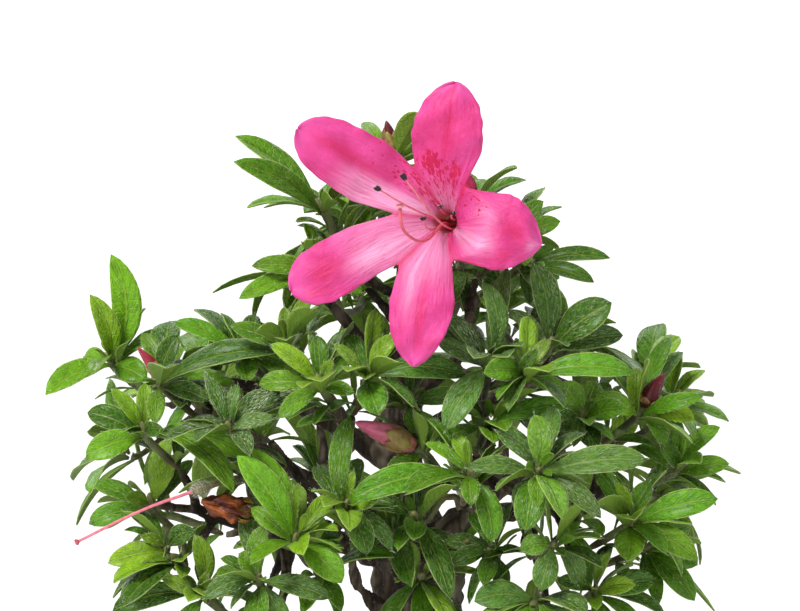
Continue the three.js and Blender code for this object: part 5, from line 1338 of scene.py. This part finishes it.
# ---------------- buds
BUDS = {
    # its bearer; its tip; radius; the petals' colours at foot and tip; how much is scale
    "bud_left": ("long_arch", (-63.5, -38, 163), 1.6, (0.26, 0.05, 0.04), (0.36, 0.012, 0.05), 0.45),
    "bud_centre": ("centre_bud", (-10.8, -51, 145), 3.0, (0.36, 0.13, 0.09), (0.50, 0.085, 0.20), 0.6),
    "bud_right": ("far_right_top", (64.5, -27, 156.5), 2.2, (0.060, 0.002, 0.006), (0.105, 0.002, 0.012), 0.25),
    "bud_top": ("behind_top", (-3.4, -15, 219), 2.0, (0.10, 0.012, 0.018), (0.13, 0.01, 0.022), 1.1),
    "bud_behind": ("right_of_bloom", (16.5, -21, 206), 2.0, (0.55, 0.03, 0.13), (0.45, 0.02, 0.10), 0.2),
}
BEARERS = {
    # the whorl that bears a bud or the wilted bloom: its middle as x, y and seen height, and its lean
    "long_arch": ((-58, -34, 154), (-0.3, -0.4, 0.9)),
    "centre_bud": ((5, -45, 138), (-0.8, -0.25, 0.45)),
    "far_right_top": ((59, -22, 147), (0.4, -0.3, 0.8)),
    "behind_top": ((-2, -14, 208), (0, 0, 1)),
    "right_of_bloom": ((17, -18, 197), (0.1, 0, 1)),
    "hairy_left": ((-38, -40, 131), (-0.7, -0.5, 0.1)),
}
BUD_PROFILE = vec((0, 0.42), (0.06, 0.7), (0.14, 0.87), (0.25, 0.97), (0.36, 1), (0.5, 0.95), (0.62, 0.84),
                  (0.75, 0.68), (0.85, 0.5), (0.93, 0.33), (0.98, 0.17), (1, 0.03))


def stalk_start(bearer):
    """Where a stalk leaves its whorl, and the whorl's lean."""
    spot, lean = BEARERS[bearer]
    axis = unit(vec(*lean))
    return seen(*spot) + axis * STALK_START, axis


def wrap_round(way_at, radius_at, columns=30, rows=26):
    """A closed body round a way: a sheet bent round and joined. The radius may vary with turn and share."""
    piece, flat = model_sheet(columns, rows)
    turn, share = flat[:, 0] * math.pi, (flat[:, 1] + 1) / 2
    centre, run = way_at(share)
    side = square_to(vec(0.3, 0.2, 1) + 0 * run, run)
    out = side * np.cos(turn)[:, None] + np.cross(run, side) * np.sin(turn)[:, None]
    bend_to(piece, centre + out * radius_at(turn, share)[:, None] * MM)
    tidy_mesh(piece, 0.03 * MM)
    with editing(piece):
        bpy.ops.mesh.select_all(action="DESELECT")
        bpy.ops.mesh.select_non_manifold()
        bpy.ops.mesh.edge_face_add()
        bpy.ops.mesh.select_all(action="SELECT")
        bpy.ops.mesh.quads_convert_to_tris()
        bpy.ops.mesh.normals_make_consistent(inside=False)
    return piece


def make_bud(node, seed):
    random, heap = np.random.default_rng(seed), Heap()
    bearer, tip, radius, low_tone, high_tone, scaly = BUDS[node]
    (base, axis), end = stalk_start(bearer), seen(*tip)
    length, up = norm(end - base), unit(end - base)

    def way(shares):
        return bent(base, base + axis * length * 0.4, end, shares)

    def profile(share):
        return radius * np.interp(share, *BUD_PROFILE.T)

    def folded(turn, share):
        fold = (turn / (2 * math.pi) * 5 + 1.2 * share + 0.3) % 1
        step = smooth(fold / 0.82) - smooth((fold - 0.82) / 0.18)
        return profile(share) * (0.85 + 0.2 * step * smooth(1.4 - share))

    body = wrap_round(way, folded)
    bristle(heap, body, 90, 0.8, (0.5, 0.4, 0.3), random, up * 0.8)
    tone = shaded(low_tone, high_tone, (points_of(body) - base) @ up / length)
    heap.pour(body, 0, tone * random.uniform(0.85, 1.15, (len(tone), 1)))
    for i in range(int(4 + 9 * scaly)):
        level = 0.02 + 0.2 * (i / 13)
        reach = min(0.85, level + (0.22 + 0.42 * scaly) * random.uniform(0.8, 1.1))
        (foot, high), (run, _) = way(vec(level, reach))
        out = out_from(run, i * GOLDEN_TURN + seed)
        low_out, mid_out, high_out = (out * profile(share) * 1.1 * MM for share in
                                      (level, (level + reach) / 2, reach))
        base_at, tip_at = foot + low_out * 0.75, high + high_out * 0.98
        bend = 2 * ((foot + high) / 2 + mid_out * 1.04) - (base_at + tip_at) / 2
        tone = vec(0.30, random.uniform(0.16, 0.27), 0.06) * random.uniform(0.65, 1.15)
        add_leaf(heap, SMALL_BLADE, Leaf(base_at, bend, tip_at, out, radius * 0.6 * MM), tone, 0.6, random,
                 hollow=True)
    heap.place(node + "_dressed", (TISSUE, HAIR), "bud", node)


for seed, node in enumerate(BUDS, SEEDS["buds"]):
    make_bud(node, seed)


# ---------------- the wilted bloom and its style
def make_spent():
    random, heap = np.random.default_rng(SEEDS["wilted"]), Heap()
    ends = [seen(-48, -45, 125.6), seen(-44, -44.5, 124.4), seen(-40, -44, 123.6), seen(-36.6, -43.5, 123)]
    run = unit(ends[3] - ends[0])

    def way(share):
        centre = np.column_stack([np.interp(share, [0, 0.34, 0.68, 1], line) for line in np.array(ends).T])
        return centre, run + 0 * centre

    def crumpled(turn, share):
        body = np.interp(share, [0, 0.2, 0.45, 0.7, 0.9, 1], [0.7, 2.1, 2.6, 2.9, 2.3, 0.2])
        folds = (0.22 * np.sin(6 * turn + 4 * share) + 0.13 * np.sin(11 * turn - 9 * share)
                 + 0.1 * np.sin(17 * share + 3 * turn) + 0.08 * np.sin(23 * turn + 11 * share))
        return body * (0.88 + folds * smooth(share * 5) * smooth((1.02 - share) * 6))

    body = wrap_round(way, crumpled, 66, 40)
    # the fold bands run across the bloom by place, not along its folds: dark red-brown to orange, partly the
    # wilted petals' own mixed tones and partly painted light and shade, the orange standing in for lit parts
    fold = 0.5 + 0.5 * np.sin(points_of(body) @ vec(900, 500, 1300))
    rust_and_light = shaded((0.085, 0.014, 0.006), (0.385, 0.099, 0.018), fold**2)
    heap.pour(body, 0, rust_and_light * random.uniform(0.7, 1.3, (len(rust_and_light), 1)))
    for i in range(5):
        out = out_from(run, 2 * math.pi * i / 5 + 0.4, (0.1, 0.2, 1.0))
        foot = ends[2] + out * 1.6 * MM
        tip = ends[3] + run * random.uniform(0.5, 1.6) * MM + out * random.uniform(1.4, 2.6) * MM
        leaf = Leaf(foot, (foot + tip) / 2 + out * 1.5 * MM, tip, out, 1.5 * MM)
        tone = vec(*((0.50, 0.17, 0.03), (0.13, 0.02, 0.008))[i % 2]) * random.uniform(0.8, 1.2)
        add_leaf(heap, SMALL_BLADE, leaf, tone, 0.2, random, 1)
    heap.place("spent_bloom_dressed", (TISSUE, LEAF), "wilted", "spent_bloom")


def make_spent_style():
    random, heap = np.random.default_rng(SEEDS["wilted style"]), Heap()
    way = [stalk_start("hairy_left")[0], seen(-43, -45, 130.2), seen(-46.6, -47, 129), seen(-50, -49, 128),
           seen(-62, -54, 123.6), seen(-77.5, -58, 116)]
    stalk = tube_along(way[:3], [0.75, 0.7, 0.75])
    bristle(heap, stalk, 160, 1.1, (0.42, 0.36, 0.25), random)
    heap.pour(stalk, 0, (0.16, 0.13, 0.05))
    run = unit(way[3] - way[2])
    ovary = ball((way[2] + way[3]) / 2 - run * 0.4 * MM, way[3] - way[2], 1.5, 2.4, 18)
    bristle(heap, ovary, 520, 1.5, (0.62, 0.6, 0.5), random, run * 0.9)
    heap.pour(ovary, 0, (0.2, 0.2, 0.11))
    heap.pour(tube_along(way[3:], [0.42, 0.36, 0.36], 8, 12), 0, (0.76, 0.19, 0.26))
    run = unit(way[5] - way[4])
    stigma = [way[5] + run * step * MM for step in (-0.5, 0.1, 0.5)]
    heap.pour(tube_along(stigma, [0.4, 0.85, 0.6], 12), 0, PINK_STYLE * 0.75)
    heap.place("spent_style_dressed", (TISSUE, HAIR), "style", "spent_style")


make_spent()
make_spent_style()


# ---------------- small extra sprigs
SPRIGS = [
    # x, y, seen height; lean; tones; how silvery
    ((67, -8, 149), (0.5, -0.3, 0.8), (MID, BRIGHT, LIME), 0.2),
    ((61, -3, 154), (0.1, -0.1, 1.0), (BRIGHT, MID, LIME), 0.2),
    ((43, -38, 121), (0.1, -0.8, 0.5), (DEEP, MID, BRIGHT), 0.5),
    ((-24, -36, 113), (-0.3, -0.6, 0.6), (MID, DEEP, BRIGHT), 0.3),
    ((4, -40, 121), (-0.2, -0.8, 0.5), (DEEP, DEEP, MID), 0.4),
    ((15, -36, 114), (0.4, -0.7, 0.5), (DEEP, MID, BRIGHT), 0.5),
    ((-8, -36, 112), (-0.4, -0.7, 0.5), (DEEP, MID, BRIGHT), 0.3),
    ((5, -33, 106), (0.1, -0.8, 0.4), (MID, DEEP, LIME), 0.3),
    ((-54, -34, 110), (-0.4, -0.6, 0.5), (MID, DEEP, LIME), 0.3),
    ((-20, -36, 107), (-0.1, -0.8, 0.4), (MID, MID, BRIGHT), 0.3),
]
WOOD = search_tree(["tree"])


def make_sprig(number, spot, lean, tones, down):
    """A short twig from the nearest old wood, with a whorl of leaves at its end."""
    random, heap = np.random.default_rng(SEEDS["sprigs"] + number), Heap()
    heart, axis = seen(*spot), unit(vec(*lean))
    wood, outward = (np.array(v) for v in WOOD.find_nearest(Vector(heart))[:2])
    reach = norm(heart - wood)
    way = [wood - outward * 1.2 * MM, wood + outward * 0.2 * reach, heart - axis * 0.3 * reach,
           heart + axis * 1.0 * MM]
    twig = tube_along(way, [1.0, 0.85, 0.75, 0.7])
    old = norm(points_of(twig) - heart, axis=1) / (14 * MM) - 0.2
    heap.pour(twig, 1, shaded(GREEN_WOOD, BROWN_WOOD, old))
    heap.pour(ball(heart + axis * 2.4 * MM, axis, 0.95, 2.0), 1, NEW_WOOD)
    dress_whorl(heap, heart, axis, tones, down, random, 8)
    heap.place(f"added_sprig_{number}", (LEAF, TWIG, HAIR), "leaf")


for number, sprig in enumerate(SPRIGS, 1):
    make_sprig(number, *sprig)


# ---------------- pot
POT_LONG, POT_WIDE = 75, 58
POT_SIDE = 44  # the side's height, under the lip
WALL = 6
DRAIN_RADIUS, DRAIN_X = 5, 28
FOOT_X, FOOT_Y = POT_LONG - 17, POT_WIDE - 15  # the feet stand on an oval of this size
FOOT_TURN = 0.62


def inset(z):
    """How far the pot's side is inside its rim's outline at a height, mm."""
    return 2.6 + 9 * (1 - z / POT_SIDE) ** 1.6


POT_LEVELS = [
    # inset, height: under the floor, up the outside, over the lip, down the inside
    (inset(7) + 3.2, 7), (inset(7) + 2, 7), (inset(7) + 0.9, 7.4), (inset(7) + 0.3, 8.4),
    *((inset(z), z) for z in (10, 16, 22, 29, 36, 42.5)), (inset(POT_SIDE), 43.8),
    (1.2, 44.2), (0.25, 44.6), (0, 45.2), (0, 47.6), (0.15, 49), (0.6, 49.8), (1.3, 50), (4.6, 50),
    (5.2, 49.8), (5.5, 49), (inset(40) + WALL, 43), *((inset(z) + WALL, z) for z in (40, 31, 22)),
    (inset(13) + WALL, 16), (inset(13) + 7, 13.6), (inset(13) + 9, 13),
]
FOOT_LEVELS = [(3.4, 8.9, 0), (3.75, 9.35, 0.15), (3.95, 9.7, 0.7), (4.6, 10.8, 4), (5.3, 12.3, 8.0)]


def raise_through(count, levels):
    """A rounded oblong disc, extruded through levels: half sizes and height, mm."""
    bpy.ops.object.select_all(action="DESELECT")
    bpy.ops.mesh.primitive_circle_add(vertices=count, radius=MM, fill_type="NGON")
    body = bpy.context.object
    for i, vert in enumerate(body.data.vertices):
        turn = 2 * math.pi * i / count
        c, s = math.cos(turn), math.sin(turn)
        vert.co = (math.copysign(abs(c) ** 0.8, c) * MM, math.copysign(abs(s) ** 0.8, s) * MM, 0)
    x, y, z = 1, 1, 0
    with editing(body):
        for step, (next_x, next_y, next_z) in enumerate(levels):
            if step:
                bpy.ops.mesh.extrude_region_move(TRANSFORM_OT_translate={"value": (0, 0, 0)})
            bpy.ops.transform.translate(value=(0, 0, (next_z - z) * MM))
            bpy.ops.transform.resize(value=(next_x / x, next_y / y, 1), center_override=(0, 0, 0))
            x, y, z = next_x, next_y, next_z
        bpy.ops.mesh.select_all(action="SELECT")
        bpy.ops.mesh.normals_make_consistent(inside=False)
    return body


def combine(piece, operation, other):
    """Cuts another body away from a piece or adds it to it; the other is removed."""
    apply(piece, "BOOLEAN", operation=operation, object=other, solver="EXACT")
    bpy.data.objects.remove(other)


def mark_corners(piece, angle=38):
    """Keeps the piece smooth but for its sharp edges."""
    with editing(piece):
        bpy.ops.mesh.select_all(action="DESELECT")
        bpy.ops.mesh.select_mode(type="EDGE")
        bpy.ops.mesh.edges_select_sharp(sharpness=math.radians(angle))
        bpy.ops.mesh.mark_sharp()
        bpy.ops.mesh.select_mode(type="VERT")


def make_pot():
    pot = raise_through(96, [(POT_LONG - away, POT_WIDE - away, z) for away, z in POT_LEVELS])
    pot.location = here(0, 0, 0)
    bpy.ops.object.transform_apply(location=True)
    for x in (-DRAIN_X, DRAIN_X):
        bpy.ops.mesh.primitive_cylinder_add(vertices=32, radius=DRAIN_RADIUS * MM, depth=20 * MM,
                                            location=here(x, 0, 10))
        combine(pot, "DIFFERENCE", bpy.context.object)
    model = raise_through(32, FOOT_LEVELS)  # its long side along y and its narrow end down
    for turn in (FOOT_TURN, math.pi - FOOT_TURN, math.pi + FOOT_TURN, -FOOT_TURN):
        foot = link("foot", model.data.copy())
        foot.location = here(FOOT_X * math.cos(turn), FOOT_Y * math.sin(turn), 0)
        foot.rotation_euler = (0, 0, turn)
        choose(foot)
        bpy.ops.object.transform_apply(location=True, rotation=True)
        combine(pot, "UNION", foot)
    bpy.data.objects.remove(model)
    tidy_mesh(pot, 0.02 * MM)
    finish_piece(pot, "pot_smooth", clay_finish(), "clay", "pot")
    mark_corners(pot)


# ---------------- soil and moss
SOIL_TOP = 0.0425  # what is higher is the soil's open face
MOSS_PATCHES = [
    # x, y, size
    (-46, -12, 13), (-36, -20, 9), (-27, 27, 12), (-18, 33, 7), (2, -34, 9), (13, -31, 11), (40, 8, 14),
    (30, 17, 9), (22, 31, 9), (-56, 12, 8), (53, -17, 7), (46, -24, 6), (-12, -38, 5), (58, 6, 5),
]


def moss_at(points):
    """How mossy the soil is at points."""
    x, y = ((points[:, :2] - MIDDLE) / MM).T
    cover = np.zeros(len(points))
    for px, py, size in MOSS_PATCHES:
        turn = np.arctan2(y - py, x - px)
        far = np.hypot(x - px, y - py) * (1 + 0.16 * np.sin(2 * turn + px) + 0.11 * np.sin(5 * turn + py))
        cover = np.maximum(cover, smooth((size - far) / 4))
    return cover


def make_soil():
    soil = model_of("soil")
    apply(soil, "REMESH", mode="VOXEL", voxel_size=1.05 * MM)
    apply(soil, "SMOOTH", factor=0.5, iterations=2)
    points = points_of(soil)
    top = points[:, 2] > SOIL_TOP
    cover = moss_at(points) * top
    bare, green = (soil.vertex_groups.new(name=name) for name in ("granules", "moss"))
    for index in np.flatnonzero(top):
        bare.add([int(index)], float(1 - 0.8 * cover[index]), "REPLACE")
        green.add([int(index)], float(cover[index]), "REPLACE")
    roughen(soil, "VORONOI", 0.0042, -1.5, 0.35, "granules")
    roughen(soil, "CLOUDS", 0.0045, 2.8, 0.2, "moss")
    mark(soil.data, "mossy", cover)
    finish_piece(soil, "soil_and_moss", soil_finish(), "soil", "soil")
    return soil


def make_moss(soil, count=8000):
    """Short green blades standing on the mossy patches."""
    random, heap = np.random.default_rng(SEEDS["moss"]), Heap()
    points, normals = points_of(soil), normals_of(soil)
    level = (points[:, 2] > SOIL_TOP + MM) & (normals[:, 2] > 0.5)
    pick = random.choice(np.flatnonzero((moss_at(points) > 0.35) & level), count)
    ways = vec(0, 0, 1) + random.normal(0, 0.4, (count, 3))
    spots = points[pick] + random.uniform(-0.6, 0.6, (count, 3)) * vec(MM, MM, 0) - vec(0, 0, 0.3 * MM)
    clump = 0.5 + 0.5 * np.sin(spots[:, 0] * 900) * np.sin(spots[:, 1] * 800)
    tones = shaded((0.060, 0.105, 0.012), (0.180, 0.225, 0.022), clump)
    tones = tones * random.uniform(0.5, 1.5, (count, 1))
    lengths = random.uniform(0.9, 1.7, count) * (1 + 0.5 * clump) * MM
    add_hairs(heap, spots, ways, lengths, 0.12 * MM, np.repeat(tones, len(NEEDLE[0]), 0), 0)
    heap.place("moss_blades", (TISSUE,), "leaf")


make_pot()
make_moss(make_soil())


# ---------------- camera, light and floor
DISTANCE = 1.5
VIEW_WIDTH = 0.192  # what the frame's width takes in at the bloom
VIEW_HEIGHT = 173.3  # the seen height in its middle
SENSOR = 36
LAMPS = [
    # name, place, aimed at, size, power, colour
    ("key", (-0.9, -1.2, 1.7), (0, 0, 0.15), 0.8, 51, (1, 0.99, 0.96)),
    ("fill", (1.4, -1.2, 0.9), (0, 0, 0.15), 1.2, 7, (0.98, 0.99, 1)),
    ("backdrop left", (-1.6, 3.4, 2.4), (-1.2, 3.2, 0), 2.5, 75, (1, 1, 1)),
    ("backdrop right", (1.6, 3.4, 2.4), (1.2, 3.2, 0), 2.5, 75, (1, 1, 1)),
]


def make_stage():
    scene = bpy.context.scene
    scene.camera = camera = link("camera", bpy.data.cameras.new("camera"))
    camera.data.sensor_width = SENSOR
    camera.data.lens = SENSOR * DISTANCE / VIEW_WIDTH
    camera.data.clip_end = 50
    back = Vector((0, -math.cos(SIGHT), math.sin(SIGHT)))
    camera.location = Vector(seen(0, BLOOM_DEPTH, VIEW_HEIGHT)) + back * DISTANCE
    camera.rotation_euler = turned_to(back)

    bpy.ops.mesh.primitive_plane_add(size=30)
    floor = bpy.context.object
    floor.name = "floor"
    made, place = finish_of("pale floor", Roughness=0.9, Specular_IOR_Level=0.1)
    pale = place.noise(3.0).ramp((0.0, (0.93, 0.93, 0.93)), (1.0, (0.96, 0.96, 0.96)))
    floor.data.materials.append(feed(made, Base_Color=pale))

    for name, spot, goal, size, power, tint in LAMPS:
        lamp = link(name, bpy.data.lights.new(name, "AREA"))
        lamp.data.shape = "DISK"
        lamp.data.size = size
        lamp.data.energy = power
        lamp.data.color = tint
        lamp.location = spot
        lamp.rotation_euler = turned_to(Vector(spot) - Vector(goal))
    scene.world = bpy.data.worlds.new("studio")
    scene.world.use_nodes = True
    light = scene.world.node_tree.nodes["Background"].inputs
    light["Color"].default_value = (1, 1, 1, 1)
    light["Strength"].default_value = 0.4
    scene.view_settings.view_transform = "Standard"


make_stage()
